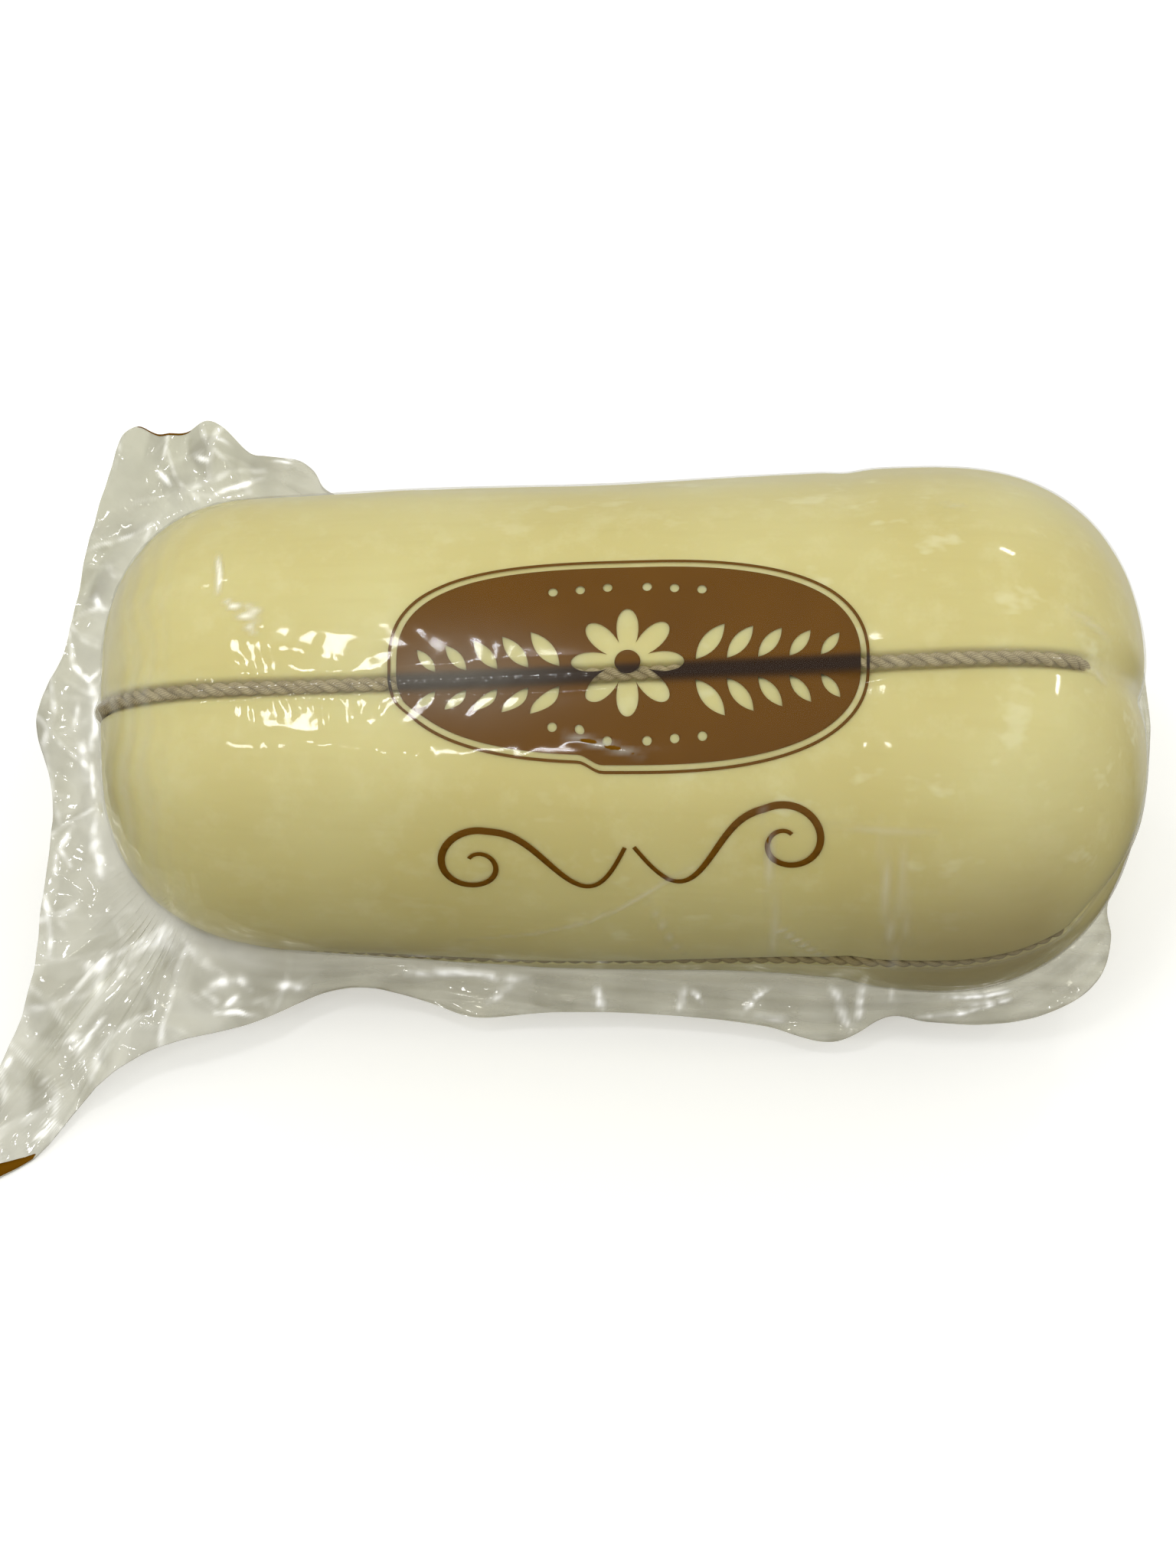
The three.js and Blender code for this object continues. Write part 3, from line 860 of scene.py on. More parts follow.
# Under the lower twine the veil takes the shaded colour: painted shade.
for name, value in (("slack", film_milkiness), ("shade", below_twine),
                    ("crease_and_glint", lambda *place: 0.42 * crease_marks(*place)[1])):
    set_attribute(film_mesh, name, grid_values(value, film_grid))
film_mesh.materials.append(film_on_cheese)
print("film on the cheese:", triangles(film.data), "triangles")

# %% [markdown]
# ## The empty bag
# Past the cheese the bag's two layers lie together, crumpled: a wide neck at the left and a narrow
# fin along the lower side. A line of named points gives the outer edge, and the sheet is spun from
# the nearest place on the cheese out to it. Near the cheese the layers part and run onto its surface.
# Crumpled film has flat facets and sharp creases, so its folds are sums of triangle waves in many
# directions, each bent a little by noise.
#
# Each set of folds is the way it runs across in degrees, its length and height in millimetres, and how
# much painted shade sets its two flanks apart. Single sharp creases are lines of (x, s) points in the
# sheet, each whitened and lit up, partly as doubled film and partly as a painted glint, and
# wide waves fan out all round the cheese.

# %% Sizes of the empty bag
BAG_EDGE = [
    (-92.5, 67.3), (-80.6, 61.3), (-73.4, 52.6), (-65.7, 46.5), (-51.3, 42), (-41, 37.8),
    (-35, 37.4), (-27, 39.4), (-20.7, 41.3), (-9, 40.6), (5, 41), (20, 42.5), (29.8, 44.7),
    (37.8, 41.1), (43, 41.9), (51, 42.3), (60, 40.5), (66.6, 36.2), (68.6, 30.3), (68.1, 25.4),
    (72.6, 13.8), (73.7, 4.2), (73.7, -3.6), (72.8, -15.7), (67.6, -28.2), (60, -36.3), (44, -41),
    (4, -39.8), (-38, -37.9), (-43.2, -38.8), (-44.8, -41.2), (-46.6, -42), (-51.3, -40.8),
    (-53.2, -40.6), (-57.2, -43.5), (-59.2, -44), (-62.3, -42.6), (-66, -42.3), (-69.2, -43.6),
    (-71.2, -42.2), (-72.8, -37.2), (-76, -23.6), (-78.4, -10), (-81.9, -0.9), (-79.2, 11.2),
    (-80.5, 27.2), (-82.7, 41), (-88.2, 54.9),
]
FRONT_PLEAT_ANGLE, BACK_PLEAT_ANGLE = -44, 172
NECK_FRONT_ANGLE, NECK_BACK_ANGLE = -30, 152
NECK_FROM, NECK_TO = -62, -37
BEND_FROM, BEND_LENGTH, CORNER_ANGLE = 47, 16, -6
LAYER_HALF = 0.12
ROOT_HALF, ROOT_REACH, ROOT_WIDTH, ROOT_INSET = 3.2, 3.4, 9, 3.2
CRUMPLE, CRUMPLE_REACH = 1.7, 9
NECK_SHARE = 38, 60
BAG_CLEARANCE = 0.3
print("points on the bag's edge:", len(BAG_EDGE))


# %% The edge as a smooth closed line
def smooth_edge(shares):
    """Points at shares of the way along a centripetal Catmull-Rom curve through BAG_EDGE."""
    knots = np.array(BAG_EDGE, float)
    t = np.linspace(0, 1, 40, endpoint=False)[:, None]
    dense = []
    for p in zip(*[np.roll(knots, back, axis=0) for back in (1, 0, -1, -2)]):
        a, b, c = [math.sqrt(np.linalg.norm(p[k + 1] - p[k])) for k in range(3)]
        start = b * ((p[1] - p[0]) / a - (p[2] - p[0]) / (a + b) + (p[2] - p[1]) / b)
        stop = b * ((p[2] - p[1]) / b - (p[3] - p[1]) / (b + c) + (p[3] - p[2]) / c)
        dense.append((2 * t**3 - 3 * t**2 + 1) * p[1] + (t**3 - 2 * t**2 + t) * start
                     + (3 * t**2 - 2 * t**3) * p[2] + (t**3 - t**2) * stop)
    dense = np.concatenate(dense)
    closed = np.vstack([dense, dense[:1]])
    along = np.concatenate([[0], np.cumsum(np.linalg.norm(np.diff(closed, axis=0), axis=1))])
    stops = np.asarray(shares) % 1 * along[-1]
    return np.stack([np.interp(stops, along, closed[:, k]) for k in (0, 1)], -1)


def nearest_on_cheese(points):
    """The foot of each point on the cheese's outline in the plane of the sheet."""
    x, r = stations(260)[:2]
    sides = [np.stack([x, side * r], -1) for side in (1, -1)]
    start = np.concatenate([side[:-1] for side in sides])
    run = np.concatenate([np.diff(side, axis=0) for side in sides])
    offset = points[:, None] - start[None]
    share = np.clip((offset * run).sum(-1) / (run * run).sum(-1), 0, 1)
    feet = start + share[..., None] * run
    nearest = np.linalg.norm(points[:, None] - feet, axis=-1).argmin(1)
    return feet[np.arange(len(points)), nearest]


def sheet_place(x, s):
    """Where s across the sheet lies in a cross-section: y, z and the sheet's slope there."""
    at_body = smoothstep(x, NECK_FROM, NECK_TO)
    back = np.radians(lerp(NECK_BACK_ANGLE, BACK_PLEAT_ANGLE, at_body))
    start = np.radians(lerp(NECK_FRONT_ANGLE, FRONT_PLEAT_ANGLE, at_body))
    bent = np.clip((s - BEND_FROM) / BEND_LENGTH, 0, 1)
    slope = lerp(start, math.radians(CORNER_ANGLE), bent)
    mean = lerp(start, slope, 0.5)
    runs = [(np.minimum(s, BEND_FROM), start), (bent * BEND_LENGTH, mean),
            (np.maximum(0, s - BEND_FROM - BEND_LENGTH), slope)]
    y = -sum(run * np.cos(way) for run, way in runs)
    z = sum(run * np.sin(way) for run, way in runs)
    behind = s < 0
    return (np.where(behind, s * np.cos(back), y), np.where(behind, -s * np.sin(back), z),
            np.where(behind, back - math.pi, slope))


round_edge = smooth_edge(np.linspace(0, 1, 400))
print("bag's edge:", round(float(np.linalg.norm(np.diff(round_edge, axis=0), axis=1).sum())), "mm round")


# %% Folds and sharp creases
FOLD_SETS = [
    (8, 9.0, 0.42, 0.5), (62, 11.0, 0.5, 0.45), (-38, 7.5, 0.32, 0.35), (97, 6.0, 0.2, 0.15),
    (28, 4.4, 0.11, 0), (-71, 3.4, 0.08, 0),
]
FOLD_SHARPNESS, BAND_SHARPNESS = 0.975, 0.93
FANS = [(19, 0.5, 0.92, 0.6), (31, 0.2, 0.9, 2)]
SHARP_LINES = [
    [(-60.6, -38.6), (-59, -38)], [(-57.6, -41.6), (-56, -40.8)], [(-50, -40.3), (-47.5, -40.9)],
    [(-49, -41.6), (-46.3, -41.9)], [(-66.2, -36.8), (-64, -34.3)], [(-57.5, -33), (-51, -36.5)],
    [(-77.8, -13), (-77, -8), (-74.5, -5.5), (-72.2, -7.2), (-71.5, -10.2)],
    [(-76, -2.2), (-76.3, 1.4)], [(-73.8, 6), (-73.2, 11)], [(-76.2, 15), (-78, 18.2), (-76.4, 20.6)],
    [(-78.4, 18.8), (-78.5, 21.6)], [(-79.8, 24.8), (-79.2, 29), (-79.2, 32.5)],
    [(-70, 34), (-68.8, 34.8), (-69.6, 36.2)], [(-68.2, 33.2), (-64.8, 31.5), (-62.2, 30)],
    [(-56, 40.8), (-53.2, 40.5), (-50.2, 41)], [(-55.2, 40.2), (-53, 38.2)],
    [(-77.2, 44.5), (-75.2, 44.8), (-74.2, 45.8), (-73, 43.8), (-71.5, 41.8)],
    [(-80.4, 58.2), (-77.8, 57.2)], [(-79, 56), (-76.4, 56.8)], [(-84.8, 48.8), (-83.8, 46.8)],
    [(8.8, 37), (8.2, 40.5)], [(10, 37.4), (11.7, 39.7)], [(17, 40.8), (18.8, 38.5), (20.5, 37)],
    [(41.8, 41.2), (48.2, 40.6), (55.8, 38)], [(45.2, 38.2), (50.5, 38.2), (55.2, 37)],
    [(47.2, 39.6), (53.5, 38.8)], [(36.5, 31), (37.5, 34), (38, 38.5)],
]
BROAD_LINES = [
    [(-74, -17.8), (-73.2, -16)], [(-74.2, -5.2), (-73.2, -1.5), (-73.2, 1.8), (-73.8, 4.5)],
    [(-75.2, 3.4), (-74.2, 8.4)], [(-73, 16.5), (-72.2, 20), (-72.5, 23)], [(-74.4, 34), (-73, 35)],
    [(-71.5, 33.3), (-72, 35.8), (-72.5, 38.2)], [(-63.6, 30), (-62.4, 31.6)],
    [(-56, 39.2), (-57.2, 38), (-55.2, 36.5), (-52.5, 36), (-51.8, 37.3)], [(-47.8, 36.7), (-44.3, 37)],
    [(-71.2, 45.8), (-72.8, 49)], [(-31.5, 34.8), (-22.8, 35), (-13, 36)], [(-18.8, 39.2), (-15.6, 36.8)],
    [(-3.6, 36.6), (-2.8, 40.2)], [(29.5, 36.5), (31, 40.2), (32, 43)], [(34.2, 35.3), (33, 42)],
    [(19.3, 41), (23, 41.4)],
]
# The sharp and broad lines whiten the film and make it give off a little light: partly doubled film, partly
# painted glints.
SHEET_CREASES = ([(0.2, 0.35, 1.2, line) for line in SHARP_LINES]
                 + [(0.3, 0.6, 1.0, line) for line in BROAD_LINES])
print("creases in the empty bag:", len(SHEET_CREASES))


# %% The crumples
def pleat_side(t, sharpness):
    """Which flank of a pleat a place is on: 1 where it climbs, -1 where it falls."""
    turn = 2 * math.pi * t
    return np.cos(turn) / np.sqrt(1 - (sharpness * np.sin(turn)) ** 2)


def crumple(along, x, s, outside):
    """Height of the crumples in millimetres, the painted shade of their flanks, and the painted highlight on
    their crests.
    """
    turn = 2 * math.pi * along
    fan = sum(height * np.arcsin(edge * np.sin(waves * turn + start)) for waves, height, edge, start in FANS)
    swell = 0.5 * np.sin(x / 6.5 + s / 11) * (1 - np.exp(-outside / CRUMPLE_REACH))
    large = CRUMPLE * (0.7 * fan * smoothstep(outside, 1, 18) + swell)
    spots = in_plane(x, s)
    bend = noise_at(spots, 26, 1.0)
    wander = noise_at(spots, 8, 5.0)
    tail = smoothstep(-x, *NECK_SHARE)
    folds, tone, crest_highlight = 0, 0, 0
    for number, (way, length, height, contrast) in enumerate(FOLD_SETS):
        way = math.radians(way)
        patch = smoothstep(noise_at(spots, 13, 40 + 7 * number), -0.25, 0.1)
        across = (x * math.cos(way) + s * math.sin(way) + 6 * bend) / length + 0.37 * number
        across = across + 0.22 * wander
        wave = pleat(across, FOLD_SHARPNESS)
        folds = folds + height * patch * wave
        # Each flank is painted lighter or darker, and each crest whitened: painted shade and painted
        # highlight.
        crest_highlight = np.maximum(crest_highlight, contrast * patch * bell(1 - wave, 1.1 / length))
        tone = tone + contrast * patch * pleat_side(across, FOLD_SHARPNESS)
    radial, at_root = 64 * along + 1.4 * wander, bell(outside - 4, 4)
    folds = folds + 0.15 * pleat(radial) * at_root
    tone = tone + 0.2 * pleat_side(radial, BAND_SHARPNESS) * at_root
    bands, ribs = (outside + 3.2 * bend) / 2.9, (x + 4 * bend) / 10
    lengthwise = 0.16 * pleat(bands) + 0.035 * pleat((outside + 2 * bend) / 1.3 + 0.3)
    crosswise = 0.12 * pleat(ribs) + 0.05 * pleat((x - 2 * s) / 5.5 + bend)
    banded = 0.5 * pleat_side(bands, BAND_SHARPNESS) + 0.4 * pleat_side(ribs, BAND_SHARPNESS)
    sheets = lerp(lengthwise + crosswise + 0.3 * folds, folds, tail)
    # The fin is painted darker all over, as if in the cheese's shade, and its flanks and bands lighter or
    # darker: painted shade.
    shade = 0.25 + 0.4 * (1 - tail) + 0.5 * lerp(banded, tone, tail)
    shade = np.clip(shade, 0, 1) * smoothstep(outside, 0, 4)
    return large + sheets * (1 - np.exp(-outside / 1.6)), shade, crest_highlight * tail * smoothstep(outside, 0, 2)


def margin_milkiness(x, s, past):
    """How milky the two layers look: most in the neck and where they part from the cheese."""
    tail = smoothstep(-x, *NECK_SHARE)
    streak = noise_at(in_plane(x / 6, s), 1.4, 60.0)
    blotch = noise_at(in_plane(x, s), 5, 70.0)
    base = lerp(0.62 + 0.5 * streak, 1.15 + 0.4 * blotch, tail)
    return np.clip(base * smoothstep(past, -5, 1) + 0.1 * tail * bell(past - 1, 3), 0, 1.8)


# %% The two layers of the sheet
def sheet_layer(edge_shares, shares, side, lift=0.0):
    """Points of one layer, in a row from the cheese out to the edge for each place round the edge."""
    end = smooth_edge(edge_shares)
    foot = nearest_on_cheese(end)
    width = np.linalg.norm(end - foot, axis=1)[:, None]
    outward = ((end - foot) / width)[:, None]
    past = lerp(-ROOT_INSET, width, np.asarray(shares)[None, :])
    place = foot[:, None] + outward * past[..., None]
    x, s = place[..., 0], place[..., 1]
    outside = np.maximum(0, past)
    crumples, shade, crest_highlight = crumple(np.asarray(edge_shares)[:, None], x, s, outside)
    ridges, crease_and_glint = line_marks(place, SHEET_CREASES)
    spots = in_plane(x, s)
    broken = 0.2 + 0.55 * smoothstep(noise_at(spots, 1.6, 90.0), -0.35, 0.35)
    # A pale band that gives off a little light where the neck's layers leave the cheese: painted light.
    root_light = 0.06 * smoothstep(-x, *NECK_SHARE) * bell(past - 1.5, 3)
    tent = ROOT_HALF * smoothstep(width, 0, ROOT_WIDTH)
    pocket = np.maximum(0, 0.5 + noise_at(spots, 9, 21.0 + 5 * side))
    parting = 0.9 * pocket * np.maximum(0, np.sin(math.pi * np.clip(past / width, 0, 1))) ** 0.6
    half = LAYER_HALF + tent * np.exp(-past / ROOT_REACH) + parting
    y, z, slope = sheet_place(x, s)
    offset = crumples + ridges + side * (half + lift)
    points = placed(np.stack([x, y + offset * np.sin(slope), z + offset * np.cos(slope)], -1))
    lowest = MM * (BAG_CLEARANCE + (2 * LAYER_HALF + lift if side > 0 else 0))
    points[..., 2] = np.maximum(points[..., 2], lowest)
    return points, {"slack": margin_milkiness(x, s, past), "crease_and_glint": broken * (crease_and_glint + 0.9 * crest_highlight) + root_light,
                    "shade": shade}


# %% Make the empty bag
def edge_stops(count):
    """Shares of the way round the bag's edge, closer together round the crumpled neck."""
    even = np.linspace(0, 1, 2000)
    weight = np.concatenate([[0], np.cumsum(1 + 0.9 * (smooth_edge(even[1:])[:, 0] < -45))])
    return np.interp(np.linspace(0, weight[-1], count, endpoint=False), weight, even)


EDGE_COUNT, SHARE_COUNT = 1080, 44
rounds = edge_stops(EDGE_COUNT)
share_steps = np.linspace(0, 1, SHARE_COUNT) ** 0.95
(under, looks), (over, looks) = [sheet_layer(rounds, share_steps, side) for side in (-1, 1)]
rings = np.concatenate([under, over[:, ::-1]], axis=1)
faces = ring_faces(*rings.shape[:2], closed=True)
margin = add_object("film_margin", mesh_from("film_margin", rings, faces))
turned_out(margin.data)
margin.data.set_sharp_from_angle(angle=math.radians(50))
for name, values in looks.items():
    set_attribute(margin.data, name, np.concatenate([values, values[:, ::-1]], axis=1))
margin.data.materials.append(film_slack)
print("empty bag:", triangles(margin.data), "triangles")

# %% [markdown]
# ## The printed label
# The bag carries a brown label: here a plain oval field in a thin outline, with a row of simple
# shapes left bare in it, and a scroll below. Each shape is drawn flat, filled by a 2D curve, cut into
# small cells and then wrapped onto the film, so the ink follows the tents over the twine and its edges
# stay sharp at any distance.

# %% Flat shapes
LABEL = {"x": 0.7, "angle": 63.1, "width": 63.0, "height": 29.8}
TWINE_ON_LABEL, TWINE_SLOPE = -1.5, 0.035
INK_TOP, INK_BOTTOM = 0.05, 0.08


def ellipse(cx, cy, rx, ry, power=2.0, steps=160):
    turn = np.linspace(0, 2 * math.pi, steps, endpoint=False)
    c, s = np.cos(turn), np.sin(turn)
    return np.stack([cx + rx * np.sign(c) * np.abs(c) ** (2 / power),
                     cy + ry * np.sign(s) * np.abs(s) ** (2 / power)], -1)


def leaf(cx, cy, length, width, degrees, steps=15):
    """A leaf that is pointed at both ends, with its middle at cx, cy."""
    t = np.linspace(-1, 1, steps)
    bow = width / 2 * (1 - t * t)
    outline = np.concatenate([np.stack([t, bow], -1), np.stack([t, -bow], -1)[-2:0:-1]])
    outline[:, 0] *= length / 2
    way = math.radians(degrees)
    c, s = math.cos(way), math.sin(way)
    return outline @ np.array([[c, s], [-s, c]]) + (cx, cy)


def rosette(cx, cy, inner, outer, petals, steps=240):
    turn = np.linspace(0, 2 * math.pi, steps, endpoint=False)
    reach = lerp(inner, outer, np.abs(np.cos(petals * turn / 2)) ** 0.8)
    return np.stack([cx + reach * np.cos(turn), cy + reach * np.sin(turn)], -1)


def stroke(line, widths):
    """The outline of a pen stroke along a line."""
    line = np.asarray(line, float)
    way = np.gradient(line, axis=0)
    way /= np.linalg.norm(way, axis=1, keepdims=True)
    aside = np.stack([-way[:, 1], way[:, 0]], -1) * np.asarray(widths)[:, None] / 2
    return np.concatenate([line + aside, (line - aside)[::-1]])


# %% Fill a flat shape and cut it into cells
def filled(outlines):
    """A flat mesh of the area inside the outlines. An outline inside another is a hole in it."""
    curve = bpy.data.curves.new("shape", "CURVE")
    curve.dimensions = "2D"
    curve.fill_mode = "BOTH"
    for outline in outlines:
        spline = curve.splines.new("POLY")
        spline.points.add(len(outline) - 1)
        spline.points.foreach_set("co", np.pad(outline, ((0, 0), (0, 2))).ravel())
        spline.use_cyclic_u = True
    source = add_object("shape", curve)
    graph = bpy.context.evaluated_depsgraph_get()
    mesh = bpy.data.meshes.new_from_object(source.evaluated_get(graph))
    bpy.data.objects.remove(source)
    bpy.data.curves.remove(curve)
    return mesh


def diced(mesh, cell_x, cell_y):
    """Cuts a flat mesh by a grid of lines, so that it can bend."""
    bm = bmesh.new()
    bm.from_mesh(mesh)
    bmesh.ops.remove_doubles(bm, verts=bm.verts, dist=1e-4)
    flat = np.array([v.co for v in bm.verts])
    for axis, cell in ((0, cell_x), (1, cell_y)):
        low, high = flat[:, axis].min(), flat[:, axis].max()
        for value in np.arange(low + cell / 2, high, cell):
            spot, normal = [0, 0, 0], [0, 0, 0]
            spot[axis], normal[axis] = value, 1
            everything = bm.verts[:] + bm.edges[:] + bm.faces[:]
            bmesh.ops.bisect_plane(bm, geom=everything, plane_co=spot, plane_no=normal, dist=1e-5)
    bm.to_mesh(mesh)
    bm.free()
    return mesh


# %% Wrap a flat shape onto the film
def slab(name, flat, top, bottom):
    """An object of ink: the faces of a flat mesh, laid on top, turned over below and walled round."""
    count = len(top)
    faces = [list(face.vertices) for face in flat.polygons]
    if flat.polygons[0].normal.z < 0:
        faces = [face[::-1] for face in faces]
    edges = {(a, b) for face in faces for a, b in zip(face, face[1:] + face[:1])}
    walls = [[b, a, a + count, b + count] for a, b in sorted(edges) if (b, a) not in edges]
    turned = [[corner + count for corner in reversed(face)] for face in faces]
    mesh = mesh_from(name, np.concatenate([top, bottom]), faces + turned + walls)
    mesh.materials.append(ink_finish)
    print(name, triangles(mesh), "triangles")
    return add_object(name, mesh)


def wrapped(name, outlines, cx, angle, cell, tuck=0.0):
    """A flat shape laid on the film. tuck shifts its lower left part, where the film is pleated."""
    mesh = diced(filled(outlines), *cell)
    flat = np.array([v.co for v in mesh.vertices])
    shift = tuck * (1 - smoothstep(flat[:, 0], -6.5, -3.2)) * smoothstep(-flat[:, 1], 4, 9)
    x = cx + flat[:, 0]
    station = station_at(x)
    turn = math.radians(angle) + (flat[:, 1] + shift) / station[1]
    rise = rippled_film(x, station[1], turn)
    top, bottom = [placed(stood_off(station, turn, rise - depth)) for depth in (INK_TOP, INK_BOTTOM)]
    made = slab(name, mesh, top, bottom)
    over = pull(x, station[1], turn, 1.4, 4)
    set_attribute(made.data, "over_twine", np.concatenate([over, over]))
    return made


# %% The label
half_w, half_h = LABEL["width"] / 2, LABEL["height"] / 2
rims = [ellipse(0, 0, half_w - inset, half_h - inset, 2.6) for inset in (0, 0.4, 1.15)]
bare = [rosette(0, 0, 2.9, 7.4, 8), ellipse(0, 0, 1.7, 1.7)]
for side in (-1, 1):
    for step in range(5):
        cx, size = side * (10.8 + 3.9 * step), 6.2 - 0.55 * step
        stem = TWINE_ON_LABEL + TWINE_SLOPE * cx
        for half in (-1, 1):
            cy = stem + half * (0.42 * size + 1.2)
            bare.append(leaf(cx, cy, size, 0.36 * size, side * half * 52))
    for step in range(3):
        for half in (-1, 1):
            bare.append(ellipse(side * (2.6 + 3.6 * step), half * (10.6 - 0.28 * step), 0.62, 0.62, steps=32))
label = wrapped("label", rims + bare, LABEL["x"], LABEL["angle"], (0.6, 0.45), tuck=1.3)


# %% The scroll below the label
SCROLL_TILT = 0.12


def scroll_line(side):
    """Half of a scroll: a coil at the outer end that runs into a wave to the middle."""
    t = np.linspace(0, 1, 90)
    coil = 2.3 * math.pi * (1 - t) + 1.2
    reach = 1.3 + 4.2 * t
    curl = np.stack([side * (-20.5 + reach * np.cos(coil)), reach * np.sin(coil)], -1)
    u = np.linspace(0, 1, 80)[1:, None]
    middle = np.array([side * -0.6, 1.2])
    dip = np.array([[0.0, -6.4]]) * np.sin(math.pi * u) * (1 - 0.3 * u)
    wave = lerp(curl[-1], middle, u) + dip + np.array([[0.0, 3.2]]) * np.sin(2 * math.pi * u)
    return np.concatenate([curl, wave])


scroll = []
for side in (-1, 1):
    line = scroll_line(side) @ np.array([[1, SCROLL_TILT], [-SCROLL_TILT, 1]])
    scroll.append(stroke(line, 0.55 + 0.45 * np.sin(np.linspace(0.1, 3.0, len(line))) ** 2))
flourish = wrapped("scroll", scroll, 1.2, 18.5, (1.0, 0.8))


# %% [markdown]
# The print runs on past the label, so the crumpled neck shows two scraps of it: a strip along the
# lower corner and a thin line on the upper edge. They are strips of the same sheet, a hair above it.

# %% Scraps of print on the neck
STRIP_EDGE = 0.998


def print_strip(name, start, stop, width, count=60):
    """A strip of ink along the bag's edge between two shares of the way round, thin at its ends."""
    edge = np.linspace(start, stop, count)
    taper = np.sin(math.pi * np.linspace(0.02, 0.98, count)) ** 0.5
    layers = []
    for lift in (0.07, 0.04):
        rows = [[sheet_layer([e], [i], 1, lift)[0][0, 0]
                 for e, i in zip(edge, STRIP_EDGE - width * taper * share)] for share in (1.0, 0.5, 0.0)]
        layers.append(np.array(rows).transpose(1, 0, 2).reshape(-1, 3))
    corners = [i * 3 + k for i in range(count - 1) for k in (0, 1)]
    flat = mesh_from("flat strip", layers[0], [[c, c + 1, c + 4, c + 3] for c in corners])
    return slab(name, flat, *layers)


scraps = [print_strip("corner_print", -0.012, 0.028, 0.07), print_strip("edge_print", 0.752, 0.768, 0.02)]

# %% [markdown]
# ## Place, camera and light
# All pieces ride on the model's one body, and the imported bag is hidden. The camera looks down at
# half a right angle, as someone does who picks the cheese from a counter.

# %% Attach the pieces to the body and list them by slot
slots = {"cheese": [cheese], "twine": twines, "film": [film, margin], "print": [label, flourish, *scraps]}
for slot, pieces in slots.items():
    for piece in pieces:
        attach(piece, "root")
        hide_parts("bag")
    print(slot, [piece.name for piece in pieces])

# %% The floor
bpy.ops.mesh.primitive_plane_add(size=3, location=(0, 0, 0))
floor = bpy.context.object
floor.name = "floor"
paper, tree = new_material("white paper sweep")
finish_material(tree, node(tree, "BsdfPrincipled", [
    ("Base Color", srgb("#f4f4f1")), ("Roughness", 0.8), ("Emission Color", srgb("#ffffff")),
    ("Emission Strength", 0.34)]))
floor.data.materials.append(paper)
floor.visible_diffuse = False
floor.visible_glossy = False
print("floor:", floor.dimensions.x, "m wide")

# %% The camera
ELEVATION, AZIMUTH, ROLL = math.radians(50), math.radians(2), math.radians(3.25)
DISTANCE, AIM_HEIGHT, AIM_RIGHT, AIM_UP = 0.481, 0.033, 0.0039, -0.0011
back = Vector((-math.sin(AZIMUTH) * math.cos(ELEVATION), -math.cos(AZIMUTH) * math.cos(ELEVATION),
               math.sin(ELEVATION)))
right = Vector((math.cos(AZIMUTH), -math.sin(AZIMUTH), 0))
up = back.cross(right)
aim = Vector((0, 0, AIM_HEIGHT)) + right * AIM_RIGHT + up * AIM_UP
camera = add_object("camera", bpy.data.cameras.new("camera"))
camera.data.lens = 80
turned = (right * math.cos(ROLL) + up * math.sin(ROLL), up * math.cos(ROLL) - right * math.sin(ROLL), back)
camera.matrix_world = Matrix.Translation(aim + back * DISTANCE) @ Matrix(turned).transposed().to_4x4()
camera.data.clip_start = 0.01
bpy.context.scene.camera = camera
print("camera:", round(DISTANCE * 1000), "mm away,", round(math.degrees(ELEVATION)), "degrees up")

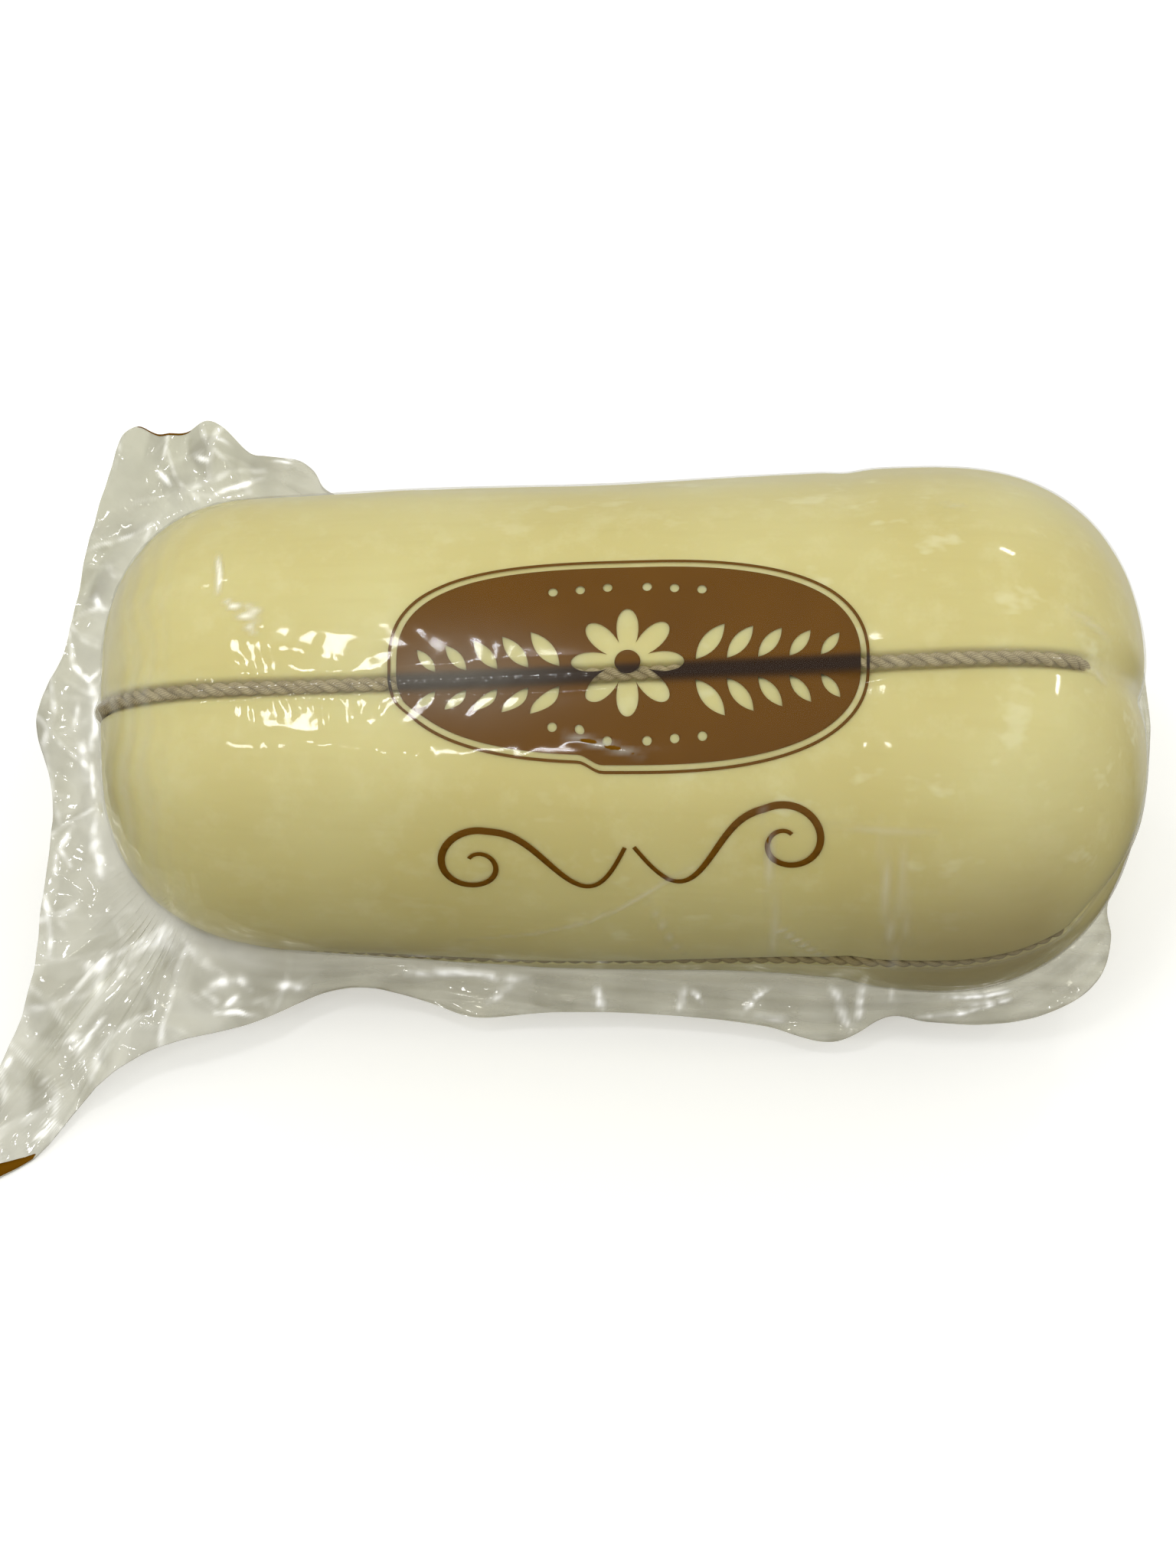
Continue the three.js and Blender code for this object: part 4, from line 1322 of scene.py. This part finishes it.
# %% The sky
def studio_sky(name, below, above, above_back, strength):
    """A world that is soft and bright overhead, a little less at the back, and dim below in front."""
    world = bpy.data.worlds.new(name)
    world.use_nodes = True
    tree = world.node_tree
    tree.nodes.clear()
    way = node(tree, "SeparateXYZ", [
        ("Vector", node(tree, "TexCoord").outputs["Generated"])]).outputs
    sideways = node(tree, "Math", [(0, way["X"]), (1, way["X"])], operation="MULTIPLY")
    lifted = node(tree, "Math", [(0, sideways), (1, 0.5), (2, way["Z"])], operation="MULTIPLY_ADD")
    behind = node(tree, "MapRange", [
        ("Value", way["Y"]), ("From Min", 0.35), ("From Max", 0.75), ("To Max", 1.8)])
    both = node(tree, "Math", [(0, lifted), (1, behind)], operation="ADD")
    share = node(tree, "MapRange", [("Value", both), ("From Min", -0.4), ("From Max", 0.65)],
                 interpolation_type="SMOOTHSTEP")
    backwards = node(tree, "MapRange", [("Value", way["Y"]), ("From Min", -0.2), ("From Max", 0.9)])
    overhead = laid_over(tree, above, [(backwards, above_back)])
    colour = node(tree, "Mix", [(0, share), (6, srgb(below)), (7, overhead)], data_type="RGBA")
    light = node(tree, "Background", [("Color", colour), ("Strength", strength)])
    node(tree, "OutputWorld", [("Surface", light)])
    bpy.context.scene.world = world


studio_sky("studio", "#6f685d", "#fbfbf8", "#dddbd4", 0.81)
print("sky:", bpy.context.scene.world.name)

# %% The lamps
LAMPS_DISTANCE, LAMPS_AIM = 0.9, 0.03


def lamp(name, direction, size, watts):
    """A small square lamp that faces the cheese."""
    light = bpy.data.lights.new(name, "AREA")
    light.shape = "RECTANGLE"
    light.size, light.size_y = size
    light.energy = watts
    made = add_object(name, light)
    way = Vector(direction).normalized()
    made.location = way * LAMPS_DISTANCE + Vector((0, 0, LAMPS_AIM))
    made.rotation_euler = way.to_track_quat("Z", "Y").to_euler()


LAMPS = [
    ("cluster lamp", (-0.24, -0.24, 0.95), (0.10, 0.08), 0.78),
    ("left back lamp", (-0.42, 0.50, 0.76), (0.13, 0.045), 0.3),
    ("right lamp", (0.75, -0.1, 0.65), (0.08, 0.03), 0.4),
    ("right back lamp", (0.34, 0.62, 0.70), (0.08, 0.03), 0.3),
    ("front lamp", (-0.40, -0.62, 0.68), (0.11, 0.045), 0.4),
    ("counter lamp", (-0.165, -0.66, 0.735), (0.06, 0.025), 0.18),
]
for settings in LAMPS:
    lamp(*settings)
print("lamps:", len(LAMPS), "with", round(sum(settings[-1] for settings in LAMPS), 2), "watts in all")
bpy.context.scene.view_settings.view_transform = "Standard"
